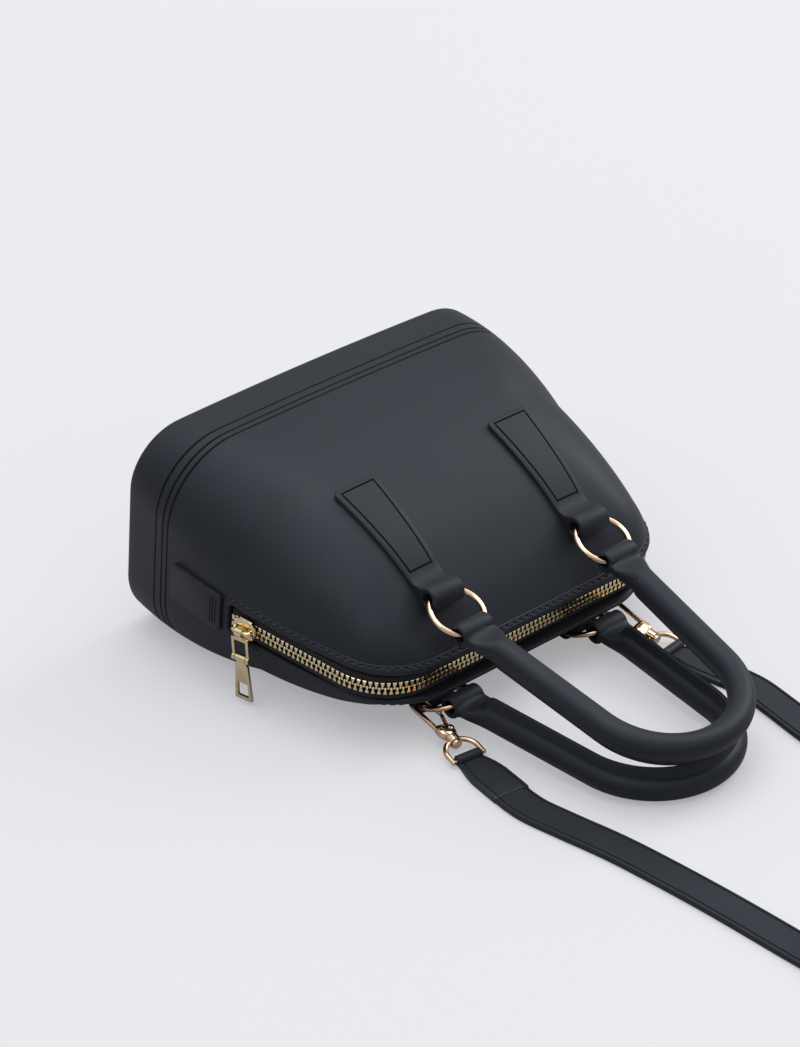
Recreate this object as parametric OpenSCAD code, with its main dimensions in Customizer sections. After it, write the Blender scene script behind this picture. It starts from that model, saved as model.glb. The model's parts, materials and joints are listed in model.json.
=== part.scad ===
// Moulded top handle bag lying on its back panel, with two ring-hung handles, a two-way
// curved zip and a clip-on shoulder strap. Millimetres, +Z up. The origin is the middle of
// the flattened back panel that the bag rests on.

/* [Body] */
// Width across the base
body_w = 207; // [185:1:230]
// Width that the side lines would reach at the top
body_top_w = 163.2; // [150:0.2:175]
// Depth of the base
body_d = 101.3; // [92:0.1:108]
// Depth that the panels would reach at the top, before the lips draw in
top_d = 27.6; // [25:0.1:31]
// Height from the base to the lips
body_h = 164.4; // [158:0.2:176]
// Corner radius of the base outline
base_corner_r = 25.6; // [15:0.1:35]
// Corner radius that the outline would reach at the top
top_corner_r = 78.5; // [60:0.5:95]
// Radius of the two dome corners
dome_r = 33.4; // [30:0.1:37]
// Outward bow of the ends
side_bow = 9.4; // [6:0.1:11]
// Outward bow of the front and back panels
panel_bow = 20.1; // [16:0.1:23]
// Crown of the front panel across its width
crown = 2.4; // [0.5:0.1:3.2]
// Thickness of the moulded wall
wall = 2.6; // [2.2:0.1:2.9]
// Radius of the edge round the base
base_edge_r = 4.5; // [3:0.1:7]
// Height over which the lips draw together
lip_run = 44; // [38:1:50]
// Width of the flat land on each lip
lip_land = 1.3; // [0.9:0.1:1.6]

/* [Lying pose] */
// Angle by which the bag's middle plane dips towards its lips
lie_tilt = 7.77; // [7.2:0.01:8.3]
// Depth to which the back is pressed flat where it is fullest
rest_press = 9.5; // [9:0.1:10.4]
// Distance of the base from the origin
base_y = 33; // [28:0.5:38]
// Height along the bag where the flattened back ends
rest_end = 70; // [60:1:74]
// Gap between fixed pieces that face each other
touch = 0.3; // [0.28:0.01:0.32]

/* [Mouth and zip] */
// Width of the mouth between the lips
mouth_w = 16; // [15.4:0.1:16.6]
// Height where the mouth starts on each end
mouth_start = 76; // [74:0.5:78]
// How far the mouth lies behind the middle plane
mouth_back = 4; // [3:0.1:5]
// Length over which the top of the bag leans back to the mouth
mouth_lean_run = 20; // [16:0.5:26]
// Depth of the chain below the end surface
side_inset = 1; // [0.5:0.1:1.3]
// Depth of the chain below the lips along the top
top_inset = 4; // [3.4:0.1:5]
// Radius of the chain round each dome corner
zip_r = 30; // [28:0.2:32]
// Spacing of the teeth of one row
tooth_pitch = 2.6; // [2.4:0.05:3.2]
// Length of a tooth along the chain
tooth_l = 1.1; // [0.9:0.05:1.25]
// Thickness of a tooth
tooth_t = 2.4; // [2:0.1:2.8]
// Width of the closed chain
chain_w = 6.4; // [6:0.1:7]
// Gap left between the two rows of teeth
chain_gap = 1.1; // [1:0.05:1.3]
// Thickness of the zip tape
tape_t = 0.8; // [0.6:0.05:1]
// Width of the flat part of each tape from the middle of the chain
tape_flat = 5.8; // [5.7:0.05:6]
// Half width of the whole front tape
tape_half = 11; // [10:0.1:12]
// Half width of the whole back tape
tape_back_half = 9.6; // [9.2:0.1:10]
// Drop of the front tape's edge below the chain
tape_drop = 5.2; // [5:0.05:5.4]
// Drop of the back tape's edge below the chain
tape_back_drop = 6.6; // [6.3:0.05:6.9]
// Length of an end stop
stop_l = 1.6; // [1.2:0.1:2]

/* [Slider and puller] */
// Length of the slider
slider_l = 13; // [11:0.1:14]
// Width of the slider
slider_w = 10.5; // [10:0.1:10.8]
// Thickness of the slider's plates
slider_t = 1.2; // [1:0.05:1.4]
// Play of the teeth between the slider's plates
slider_play = 0.6; // [0.5:0.05:0.8]
// Thickness of the post between the plates
post_t = 0.6; // [0.4:0.05:0.7]
// Length of the post
post_l = 4; // [3:0.1:5]
// Height of the crown's bar above the slider
crown_rise = 2.9; // [2.6:0.1:3.6]
// Radius of the crown's bar
crown_bar_r = 1.1; // [0.9:0.05:1.3]
// Length of the crown
crown_l = 11; // [10:0.1:12]
// Distance between the two pivots of the link
link_l = 14; // [12:0.5:18]
// Wall round the bores of the link and the pull plate
eye_wall = 1; // [0.8:0.05:1.15]
// Width of the link's upper eye
link_eye_w = 4; // [3:0.1:5]
// Width of each arm of the link
link_arm_w = 1.6; // [1.4:0.1:2]
// Radius of the link's pin
link_pin_r = 0.8; // [0.6:0.05:1]
// Width of the pull plate
pull_w = 9.6; // [8:0.1:11]
// Length of the pull plate below its pin
pull_l = 22; // [18:0.5:26]
// Thickness of the pull plate
pull_t = 1.5; // [1.2:0.1:1.7]
// Width of the window in the pull plate
window_w = 6; // [4.5:0.1:6.5]
// Height of the window in the pull plate
window_h = 7; // [5:0.1:9]
// Radial clearance of the turning fits
run_clear = 0.08; // [0.05:0.01:0.1]

/* [Handle tabs and rings] */
// Distance of each ring from the middle
ring_x = 44.3; // [42:0.1:46]
// Distance of each tab's wide end from the middle
tab_x = 46; // [44:0.1:48]
// Distance from the lips down to the tabs' wide ends
tab_drop = 75.9; // [73.4:0.1:78.4]
// Distance from the lips down to where the upper layers end
narrow_drop = 23.9; // [22.4:0.1:26.4]
// Width of a tab's wide end
tab_wide = 24.5; // [22:0.1:26]
// Width of a tab's narrow end
tab_strip = 17.5; // [16:0.1:18.5]
// Thickness of one layer of a tab
tab_t = 1.5; // [1.3:0.05:1.6]
// Margin of the upper layer inside the lower one
tab_margin = 2.4; // [1.5:0.1:3]
// Corner radius of a tab's wide end
tab_corner_r = 3; // [2:0.1:5]
// Gap between a tab and the panel that it is sewn on
tab_seat = 0.25; // [0.2:0.01:0.3]
// Distance from the lips down to the loops' axis
loop_drop = 15.4; // [14.4:0.1:16.9]
// Radius of the bore in each loop
loop_r = 3.65; // [3.4:0.05:3.9]
// Wall of each loop
loop_wall = 1.5; // [1.2:0.05:1.7]
// Angle before a loop's crest at which its strip meets it
web_turn = 35; // [25:1:45]
// Radius of a ring's centre line
ring_r = 12.6; // [12.2:0.05:13]
// Diameter of a ring's wire
ring_wire = 2.6; // [2.2:0.05:2.9]
// Angle below the level at which the front rings lie
front_ring_dip = 26; // [22:0.5:28]
// Angle above the level at which the back rings lie
back_ring_lift = 19; // [18:0.5:20]

/* [Handles] */
// Drop from the loops' axis to the middle of the grip
handle_drop = 109; // [100:0.5:118]
// Radius of the grip's bend
handle_bend_r = 37; // [32:0.5:40]
// Diameter of the grip
handle_d = 12.5; // [11:0.1:12.9]
// Diameter of the filler inside the grip
core_d = 7; // [5:0.1:8]
// Height of the seam ridge
ridge_h = 3.8; // [3:0.1:4]
// Thickness of the seam ridge
ridge_t = 2.6; // [2:0.1:3.2]
// Length of the flat tab at each end
handle_tab_l = 14; // [12:0.1:16]
// Thickness of the flat tab at each end
handle_tab_t = 5; // [4:0.1:6]
// Angle below the level of the front handle
front_handle_dip = 13.4; // [13:0.1:13.8]
// Angle below the level of the back handle
back_handle_dip = 3; // [2.8:0.1:3.1]

/* [End tabs] */
// Height along the bag where an end tab starts
end_tab_start = 38; // [36:0.5:42]
// Length of an end tab
end_tab_l = 33; // [28:0.5:35]
// Width of an end tab
end_tab_w = 20; // [17:0.5:22]
// Thickness of an end tab
end_tab_t = 2; // [1.5:0.1:2.5]
// Corner radius of an end tab
end_tab_r = 2.5; // [1.5:0.1:4]
// Spacing of the ribs on an end tab
rib_pitch = 1.6; // [1.4:0.05:2]
// Height of the ribs
rib_t = 0.5; // [0.3:0.05:0.8]
// Margin of the ribs inside an end tab
rib_margin = 3; // [2.5:0.1:4]

/* [Strap hooks] */
// Distance of each hook's neck outward of its ring's middle
hook_out = 16.7; // [16.5:0.1:16.9]
// Distance of each hook's neck beyond its ring's middle
hook_beyond = 20.43; // [20.23:0.01:20.63]
// Depth of each hook's neck below its ring's middle
hook_sink = 3.23; // [3.13:0.01:3.28]
// Turn of the hooks towards the middle
hook_yaw = 8; // [7:0.5:9]
// Rise of the hooks towards their noses
hook_pitch = 11.5; // [11.3:0.1:11.7]
// Turn of the hooks about their length, gate side down
hook_roll = 15.3; // [15:0.1:15.6]
// Distance from the neck to the middle of the nose
hook_l = 22.5; // [22.3:0.1:22.7]
// Outer radius of the nose
nose_r = 6.55; // [6.5:0.01:6.6]
// Width of the hook's arm
arm_w = 2.45; // [2.3:0.05:2.5]
// Thickness of the hook
hook_t = 2.25; // [2.2:0.05:2.4]
// Half width of the hook's base
hook_base = 4.6; // [4.4:0.1:4.8]
// Length of the hook's base
hook_base_l = 9; // [8.5:0.1:9.5]
// Thickness of the hook's base
hook_base_t = 4.2; // [4:0.1:4.4]
// Thickness of the gate
gate_t = 1.7; // [1.6:0.05:1.8]
// Width of the gate's lever
gate_w = 1.9; // [1.8:0.05:2]
// Radius of the gate's pin
gate_pin_r = 0.9; // [0.8:0.02:1]
// Radius of the swivel post
swivel_r = 1.5; // [1.3:0.05:1.6]
// Radius of the swivel post's head
swivel_head_r = 2.3; // [2.1:0.05:2.5]
// Distance from the neck to the strap ring's bar
strap_ring_l = 14; // [13.6:0.1:14.2]
// Radius of the strap ring's centre line
strap_ring_r = 7.9; // [7.7:0.05:8.2]
// Diameter of the strap ring's wire
strap_ring_wire = 2.4; // [2.2:0.05:2.6]
// Length of the strap ring's collar
collar_l = 3.6; // [3.4:0.05:3.8]
// Radius of the strap ring's collar
collar_r = 3; // [2.8:0.05:3.2]
// Thickness of the swivel post's head
head_t = 1.2; // [1:0.05:1.4]

/* [Shoulder strap] */
// Width of the strap
strap_w = 17.5; // [16:0.1:19]
// Thickness of the strap
strap_t = 2.6; // [2.2:0.05:2.8]
// Width of the strap where it passes its ring
strap_neck_w = 12.4; // [11:0.1:12.8]
// Length of the folded and sewn strap end
strap_end_l = 33; // [28:0.5:38]

/* [Hidden] */
$fn = 64;

rubber = [0.09, 0.09, 0.10];
rubber_dark = [0.06, 0.06, 0.07];
gold = [0.86, 0.66, 0.50];
pale_gold = [0.84, 0.74, 0.52];
cloth = [0.05, 0.05, 0.055];

// Outline of the body seen from the front, as half widths at a height along the bag.
function side_x(h) = body_w / 2 + (body_top_w - body_w) / 2 * h / body_h
    + 4 * side_bow * (h / body_h) * (1 - h / body_h);
function side_slope(h) = (body_top_w - body_w) / 2 / body_h
    + 4 * side_bow * (1 - 2 * h / body_h) / body_h;
dome_h = body_h - dome_r;
dome_lean = atan(-side_slope(dome_h));
dome_x = side_x(dome_h) - dome_r / cos(dome_lean);
dome_start = dome_h + dome_r * sin(dome_lean);
function half_w(h, inset = 0) = h > dome_start
    ? dome_x + sqrt(max(0, pow(dome_r - inset, 2) - pow(h - dome_h, 2)))
    : side_x(h) - inset;

// Half depth of the body, drawn in to the lips near the top.
lip_share = (mouth_w / 2 + lip_land) / (top_d / 2);
function draw_in(h) = h <= body_h - lip_run ? 1
    : sqrt(1 - (1 - pow(lip_share, 2)) * pow((h - body_h + lip_run) / lip_run, 2));
function half_d(h) = draw_in(h) * (body_d / 2 + (top_d - body_d) / 2 * h / body_h
    + 4 * panel_bow * (h / body_h) * (1 - h / body_h));
function lean_q(h) = h <= body_h - mouth_lean_run ? 0
    : -mouth_back * pow((h - body_h + mouth_lean_run) / mouth_lean_run, 2);
crown_fall_share = 0.6;
function crown_q(x, h) = crown * (1 - crown_fall_share * h / body_h) * (1 - pow(x / half_w(h), 2));
function front_q(x, h) = half_d(h) + lean_q(h) + crown_q(x, h);

// Corner radius of the outline at a height, always a little less than the half depth.
round_share = 0.96;
function corner_r(h, a, b) = min(base_corner_r + (top_corner_r - base_corner_r) * h / body_h,
    round_share * a, round_share * b);

// Heights along the bag of the tabs' wide ends, of their upper layers' ends and of the loops.
tab_start = body_h - tab_drop;
tab_narrow = body_h - narrow_drop;
loop_h = body_h - loop_drop;

// Height of the middle plane at the base above the surface lain on.
full_share = 0.41;
full_h = body_h * full_share;
base_rise = full_h * sin(lie_tilt) + half_d(full_h) * cos(lie_tilt) - rest_press;

// Levels of the back: flattened for the rest, then stepped up by the tabs under it.
tab_level = 2 * (tab_t + tab_seat);
function level_q(z, h) = (base_rise - h * sin(lie_tilt) - z) / cos(lie_tilt);
function back_q(h) = min(half_d(h) - lean_q(h), level_q(tab_level, h));

// One closed outline of the body at a height, counter-clockwise from above.
arc_steps = 9;
edge_steps = 10;
function corner_points(cx, cy, r, from) = [for (k = [0:arc_steps])
    [cx + r * cos(from + 90 * k / arc_steps), cy + r * sin(from + 90 * k / arc_steps)]];
function flat_points(x0, x1, y) = [for (k = [1:edge_steps - 1])
    [x0 + (x1 - x0) * k / edge_steps, y]];
function outline(a, b, r) = concat(
    corner_points(a - r, b - r, r, 0),
    flat_points(a - r, r - a, b),
    corner_points(r - a, b - r, r, 90),
    corner_points(r - a, r - b, r, 180),
    flat_points(r - a, a - r, -b),
    corner_points(a - r, r - b, r, 270));
ring_n = 4 * (arc_steps + 1) + 2 * (edge_steps - 1);

function level_ring(h, inset, edge = 0) =
    let (a = half_w(h, inset) - edge, b = half_d(h) - inset - edge,
        r = corner_r(h, a, b))
    [for (p = outline(a, b, r))
        [p[0], p[1] + lean_q(h) + (p[1] > 0 ? crown_q(p[0], h) * p[1] / b : 0), h]];

module stack(rings) {
    n = len(rings);
    points = [for (r = rings) each r];
    sides = [for (i = [0:n - 2], j = [0:ring_n - 1])
        let (k = (j + 1) % ring_n)
        each [[i * ring_n + j, (i + 1) * ring_n + j, (i + 1) * ring_n + k],
            [i * ring_n + j, (i + 1) * ring_n + k, i * ring_n + k]]];
    base = [[for (j = [0:ring_n - 1]) j]];
    top = [[for (j = [ring_n - 1:-1:0]) (n - 1) * ring_n + j]];
    polyhedron(points = points, faces = concat(base, sides, top));
}

side_steps = 14;
dome_steps = 8;
function body_rings(inset, floor_h, top_cut) = concat(
    inset > 0 ? [level_ring(floor_h, inset)] : [for (k = [0:2])
        level_ring(base_edge_r * (1 - cos(30 * k)), 0, base_edge_r * (1 - sin(30 * k)))],
    [for (k = [1:side_steps]) let (h = floor_h + (dome_start - floor_h) * k / side_steps)
        level_ring(h, inset)],
    [for (k = [1:dome_steps])
        let (r = dome_r - top_cut,
            low = asin((dome_start - dome_h) / r),
            h = dome_h + r * sin(low + (90 - low) * k / dome_steps))
        level_ring(h, inset)]);

// Places things given across, front and along the bag into the lying pose.
module bag_frame() {
    translate([0, base_y, base_rise]) rotate([90 + lie_tilt, 0, 0]) children();
}

// Everything above the level that the back is pressed to, at a depth inside the wall.
module above_rest(depth) {
    far = body_w;
    y_rest = base_y - rest_end * cos(lie_tilt) + level_q(0, rest_end) * sin(lie_tilt);
    y_tab = base_y - tab_start * cos(lie_tilt) + level_q(tab_level, tab_start) * sin(lie_tilt)
        + touch;
    rotate([90, 0, 90]) translate([0, 0, -far]) linear_extrude(2 * far)
        polygon([[base_y + far, depth], [y_rest, depth], [y_tab, tab_level + depth],
            [-2 * far, tab_level + depth], [-2 * far, far], [base_y + far, far]]);
}

module body_shell() {
    color(rubber) difference() {
        intersection() {
            bag_frame() stack(body_rings(0, base_edge_r, 0));
            above_rest(0);
        }
        intersection() {
            bag_frame() stack(body_rings(wall, wall, wall));
            above_rest(wall);
        }
        bag_frame() translate([-body_w, -mouth_back - mouth_w / 2, mouth_start])
            cube([2 * body_w, mouth_w, body_h]);
    }
}

// Handle tab: two sewn layers and a rolled loop, its side profile cut to its outline.
loop_out = loop_r + loop_wall;
panel_lean = atan((front_q(ring_x, loop_h - loop_wall) - front_q(ring_x, loop_h + loop_wall))
    / (2 * loop_wall));
loop_q = front_q(ring_x, loop_h) + (tab_seat + loop_out) / cos(panel_lean);
strip_end = loop_h - loop_out * sin(panel_lean);
tab_steps = 16;
module tab_side(front, low, high, last) {
    function seat(h) = (front ? front_q(tab_x - tab_wide / 2, h) : back_q(h)) + tab_seat;
    hs = [for (k = [0:tab_steps]) tab_start + (last - tab_start) * k / tab_steps];
    polygon(concat([for (h = hs) [h, seat(h) + low]],
        [for (k = [tab_steps:-1:0]) [hs[k], seat(hs[k]) + high]]));
}
// The strip rises into the roll a little inside its sides.
module tab_web(front) {
    function seat(h) = (front ? front_q(tab_x - tab_wide / 2, h) : back_q(h)) + tab_seat;
    polygon([[tab_narrow - tab_t, seat(tab_narrow - tab_t) + tab_t / 2],
        [loop_h - (loop_out - tab_seat) * sin(web_turn), loop_q + (loop_out - tab_seat) * cos(web_turn)],
        [loop_h, loop_q], [strip_end, seat(strip_end) + tab_t / 2]]);
}
module tab_plan(margin) {
    w = tab_wide / 2 - margin;
    s = tab_strip / 2 - margin;
    r = tab_corner_r;
    h0 = tab_start + margin;
    polygon([[tab_x - w + r, h0], [tab_x + w - r, h0], [tab_x + w, h0 + r],
        [ring_x + s, tab_narrow], [ring_x + s, loop_h + 2 * loop_r],
        [ring_x - s, loop_h + 2 * loop_r], [ring_x - s, tab_narrow], [tab_x - w, h0 + r]]);
    translate([tab_x - w + r, h0 + r]) circle(r);
    translate([tab_x + w - r, h0 + r]) circle(r);
}
module tab_layer(front, low, high, margin, last) {
    intersection() {
        translate([tab_x + tab_wide, 0, 0]) rotate([0, -90, 0])
            linear_extrude(2 * tab_wide) tab_side(front, low, high, last);
        translate([0, body_d, 0]) rotate([90, 0, 0]) linear_extrude(body_d) tab_plan(margin);
    }
}
module handle_tab(front) {
    color(rubber) bag_frame() mirror([0, front ? 0 : 1, 0]) difference() {
        union() {
            tab_layer(front, 0, tab_t, 0, strip_end);
            tab_layer(front, tab_t, 2 * tab_t, tab_margin, tab_narrow);
            translate([ring_x + tab_strip / 2 - tab_seat, 0, 0]) rotate([0, -90, 0])
                linear_extrude(tab_strip - 2 * tab_seat) tab_web(front);
            translate([ring_x + tab_strip / 2, loop_q, loop_h]) rotate([0, -90, 0])
                cylinder(r = loop_out, h = tab_strip);
        }
        translate([ring_x + tab_strip, loop_q, loop_h]) rotate([0, -90, 0])
            cylinder(r = loop_r, h = 2 * tab_strip);
    }
}
module tab_front_right() { handle_tab(true); }
module tab_front_left() { mirror([1, 0, 0]) handle_tab(true); }
module tab_back_right() { handle_tab(false); }
module tab_back_left() { mirror([1, 0, 0]) handle_tab(false); }

// Axes of the front and back loops in the lying pose.
front_loop_y = base_y - loop_h * cos(lie_tilt) - loop_q * sin(lie_tilt);
front_loop_z = base_rise - loop_h * sin(lie_tilt) + loop_q * cos(lie_tilt);
back_loop_y = base_y - loop_h * cos(lie_tilt) + loop_q * sin(lie_tilt);
back_loop_z = base_rise - loop_h * sin(lie_tilt) - loop_q * cos(lie_tilt);
// Distance from a ring's middle to each loop's axis, with the ring in the bores' middle.
ring_off = (ring_r + sqrt(pow(ring_r, 2) - pow(tab_strip / 2, 2))) / 2;

module wire_ring(y, z, dip) {
    color(gold) translate([ring_x, y, z]) rotate([dip, 0, 0]) translate([0, -ring_off, 0])
        rotate_extrude() translate([ring_r, 0]) circle(d = ring_wire, $fn = 32);
}
module ring_front_right() { wire_ring(front_loop_y, front_loop_z, front_ring_dip); }
module ring_front_left() {
    mirror([1, 0, 0]) wire_ring(front_loop_y, front_loop_z, front_ring_dip);
}
module ring_back_right() { wire_ring(back_loop_y, back_loop_z, -back_ring_lift); }
module ring_back_left() {
    mirror([1, 0, 0]) wire_ring(back_loop_y, back_loop_z, -back_ring_lift);
}

// Axes where the handles' loops turn on the rings.
front_axis_y = front_loop_y - 2 * ring_off * cos(front_ring_dip);
front_axis_z = front_loop_z - 2 * ring_off * sin(front_ring_dip);
back_axis_y = back_loop_y - 2 * ring_off * cos(back_ring_lift);
back_axis_z = back_loop_z + 2 * ring_off * sin(back_ring_lift);

// The legs are drawn this much slimmer than the bend that they run into.
leg_slim = handle_d / 125;
// Handle lying in its own level plane, its loops' axis along X and its drop along -Y.
bend_y = handle_drop - handle_bend_r;
bend_far = sqrt(pow(ring_x, 2) + pow(bend_y, 2));
leg_l = sqrt(pow(bend_far, 2) - pow(handle_bend_r, 2));
leg_lean = acos(handle_bend_r / bend_far) - atan(bend_y / ring_x);
module each_leg() {
    for (side = [0, 1]) mirror([side, 0, 0]) translate([ring_x, 0, 0])
        rotate([0, 0, -leg_lean]) children();
}
module bend() {
    translate([0, -bend_y, 0]) rotate([0, 0, 180 + leg_lean])
        rotate_extrude(angle = 180 - 2 * leg_lean) translate([handle_bend_r, 0]) children();
}
module handle_core_solid() {
    each_leg() translate([0, -handle_tab_l, 0]) rotate([90, 0, 0])
        cylinder(r = core_d / 2 - leg_slim, h = leg_l - handle_tab_l);
    bend() circle(d = core_d);
}
module grip_section(up, slim = 0) {
    ridge_low = handle_d / 4;
    ridge_high = handle_d / 2 + ridge_h - slim;
    difference() {
        union() {
            circle(r = handle_d / 2 - slim);
            translate([slim - ridge_t / 2, up ? ridge_low : -ridge_high])
                square([ridge_t - 2 * slim, ridge_high - ridge_low]);
        }
        circle(r = core_d / 2 + slim);
    }
}
module handle_cover_solid(up) {
    cap = handle_tab_l / 5;
    each_leg() translate([0, -handle_tab_l, 0]) rotate([90, 0, 0])
        linear_extrude(leg_l - handle_tab_l) grip_section(up, leg_slim);
    bend() grip_section(up);
    difference() {
        union() {
            for (side = [0, 1]) mirror([side, 0, 0]) translate([ring_x - tab_strip / 2, 0, 0])
                rotate([0, 90, 0]) cylinder(r = loop_out, h = tab_strip);
            each_leg() {
                translate([0, 0, -handle_tab_t / 2]) linear_extrude(handle_tab_t)
                    polygon([[-tab_strip / 2, -loop_r], [tab_strip / 2, -loop_r],
                        [tab_strip / 2, -handle_tab_l / 2], [handle_d / 3, cap / 2 - handle_tab_l],
                        [-handle_d / 3, cap / 2 - handle_tab_l],
                        [-tab_strip / 2, -handle_tab_l / 2]]);
                translate([0, cap - handle_tab_l, 0]) rotate([90, 0, 0])
                    cylinder(d = handle_d, h = cap);
            }
        }
        for (side = [0, 1]) mirror([side, 0, 0]) translate([ring_x - tab_strip, 0, 0])
            rotate([0, 90, 0]) cylinder(r = loop_r, h = 2 * tab_strip);
    }
}
module front_handle_place() {
    translate([0, front_axis_y, front_axis_z]) rotate([front_handle_dip, 0, 0]) children();
}
module back_handle_place() {
    translate([0, back_axis_y, back_axis_z]) rotate([back_handle_dip, 0, 0]) children();
}
module handle_front_cover() { color(rubber) front_handle_place() handle_cover_solid(false); }
module handle_front_core() { color(rubber_dark) front_handle_place() handle_core_solid(); }
module handle_back_cover() { color(rubber) back_handle_place() handle_cover_solid(true); }
module handle_back_core() { color(rubber_dark) back_handle_place() handle_core_solid(); }

// End tab on each end of the body, with plain ribs near its upper edge.
end_tab_mid = end_tab_start + end_tab_l / 2;
end_lean = atan(-side_slope(end_tab_mid));
module end_tab() {
    color(rubber) bag_frame() translate([side_x(end_tab_mid) + touch, -mouth_back, end_tab_mid])
        rotate([0, -end_lean, 0]) rotate([90, 0, 90]) {
            linear_extrude(end_tab_t) {
                square([end_tab_w - 2 * end_tab_r, end_tab_l], center = true);
                square([end_tab_w, end_tab_l - 2 * end_tab_r], center = true);
                for (sx = [-1, 1], sy = [-1, 1])
                    translate([sx * (end_tab_w / 2 - end_tab_r), sy * (end_tab_l / 2 - end_tab_r)])
                        circle(r = end_tab_r);
            }
            for (k = [0:2])
                translate([-end_tab_w / 2 + rib_margin,
                    end_tab_l / 2 - rib_margin - (k + 1 / 2) * rib_pitch, 0])
                    cube([end_tab_w - 2 * rib_margin, rib_pitch / 2, end_tab_t + rib_t]);
        }
}
module end_tab_right() { end_tab(); }
module end_tab_left() { mirror([1, 0, 0]) end_tab(); }

// Path of the chain: up one end, round both dome corners and down the other end.
run_x0 = side_x(mouth_start) - side_inset;
run_x1 = side_x(dome_h) - side_inset;
run_lean = atan((run_x0 - run_x1) / (dome_h - mouth_start));
zip_h = body_h - top_inset;
zip_ch = zip_h - zip_r;
zip_cx = run_x0 - (zip_ch - mouth_start) * tan(run_lean) - zip_r / cos(run_lean);
run_l = (zip_ch + zip_r * sin(run_lean) - mouth_start) / cos(run_lean);
arc_a = 90 - run_lean;
arc_l = PI * zip_r * arc_a / 180;
zip_l = 2 * (run_l + arc_l + zip_cx);

// Place on the chain at a distance along it: across, along the bag, and heading.
function chain_at(s) =
    s < run_l ? [s * sin(run_lean) - run_x0, mouth_start + s * cos(run_lean), run_lean]
    : s < run_l + arc_l ? let (g = run_lean + arc_a * (s - run_l) / arc_l)
        [-zip_cx - zip_r * cos(g), zip_ch + zip_r * sin(g), g]
    : s <= zip_l / 2 ? [s - zip_l / 2, zip_h, 90]
    : let (m = chain_at(zip_l - s)) [-m[0], m[1], 180 - m[2]];

// Local frame on the chain: X to the front, Y outwards, Z along the chain.
module on_chain(s) {
    p = chain_at(s);
    bag_frame() translate([p[0], -mouth_back, p[1]]) rotate([0, p[2], 0]) rotate([0, 0, 90])
        children();
}
// The chain starts this far up from the end of the mouth.
end_gap = touch + tooth_t / 2 * tan(run_lean);
tape_bend_share = 0.7;
// The straight runs are drawn this much slimmer than the bends that they run into.
tape_slim = tape_t / 16;
function tape_points(side, slim) =
    let (half = side > 0 ? tape_half : tape_back_half, drop = side > 0 ? tape_drop : tape_back_drop,
        low = drop * tape_bend_share, up = tape_t / 2 - slim)
    [for (p = [[chain_w / 2 + slim, up], [tape_flat, up], [mouth_w / 2, -low - slim],
        [half - slim, -drop - slim], [half - slim, slim - drop - tape_t],
        [mouth_w / 2 - tape_t / 2, slim - low - tape_t], [tape_flat - tape_t / 4, -up],
        [chain_w / 2 + slim, -up]]) [side * p[0], p[1]]];
module zip_tape(side) {
    pts = tape_points(side, tape_slim);
    turned = [for (p = tape_points(side, 0)) [zip_r + p[1], p[0]]];
    color(cloth) {
        for (m = [0, 1]) bag_frame() mirror([m, 0, 0]) {
            translate([-run_x0, -mouth_back, mouth_start]) rotate([0, run_lean, 0])
                rotate([0, 0, 90]) translate([0, 0, end_gap])
                    linear_extrude(run_l - end_gap) polygon(pts);
            translate([zip_cx, -mouth_back, zip_ch]) rotate([-90, 0, 0])
                rotate([0, 0, -90]) rotate_extrude(angle = arc_a) polygon(turned);
        }
        on_chain(run_l + arc_l) linear_extrude(2 * zip_cx) polygon(pts);
    }
}
module zip_tape_front() { zip_tape(1); }
module zip_tape_back() { zip_tape(-1); }

tooth_start = end_gap + stop_l + tooth_pitch / 2;
tooth_n = floor((zip_l - 2 * tooth_start) / tooth_pitch);
module zip_teeth(side) {
    w = (chain_w - chain_gap) / 2;
    color(pale_gold) for (k = [0:tooth_n - 1])
        on_chain(tooth_start + (k + (side > 0 ? 0 : 1 / 2)) * tooth_pitch)
            translate([side * (chain_gap / 2 + w / 2), 0, 0])
                cube([w, tooth_t, tooth_l], center = true);
}
module zip_teeth_front() { zip_teeth(1); }
module zip_teeth_back() { zip_teeth(-1); }

module zip_stops_open_end() {
    w = (chain_w - chain_gap) / 2;
    color(pale_gold) for (side = [-1, 1]) on_chain(end_gap + stop_l / 2)
        translate([side * (chain_gap / 2 + w / 2), 0, 0])
            cube([w, tooth_t, stop_l], center = true);
}
module zip_stop_closed_end() {
    color(pale_gold) on_chain(zip_l - end_gap - stop_l / 2) cube([chain_w, tooth_t, stop_l], center = true);
}

// Slider over the closed chain, resting against the stops at the left end.
slider_s = end_gap + stop_l + touch + slider_l / 2;
plate_low = tooth_t / 2 + slider_play;
tape_room = tape_t / 2 + slider_play;
module slider_body() {
    flange = (slider_w - chain_w) / 2 - touch;
    color(pale_gold) on_chain(slider_s) {
        for (side = [-1, 1]) {
            translate([0, side * (plate_low + slider_t / 2), 0])
                cube([slider_w, slider_t, slider_l], center = true);
            for (edge = [-1, 1])
                translate([edge * (slider_w - flange) / 2,
                    side * (tape_room + (plate_low - tape_room + slider_t / 2) / 2), 0])
                    cube([flange, plate_low - tape_room + slider_t / 2, slider_l], center = true);
        }
        translate([-post_t / 2, -plate_low - slider_t / 2, -slider_l / 2])
            cube([post_t, 2 * plate_low + slider_t, post_l]);
    }
}

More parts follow.
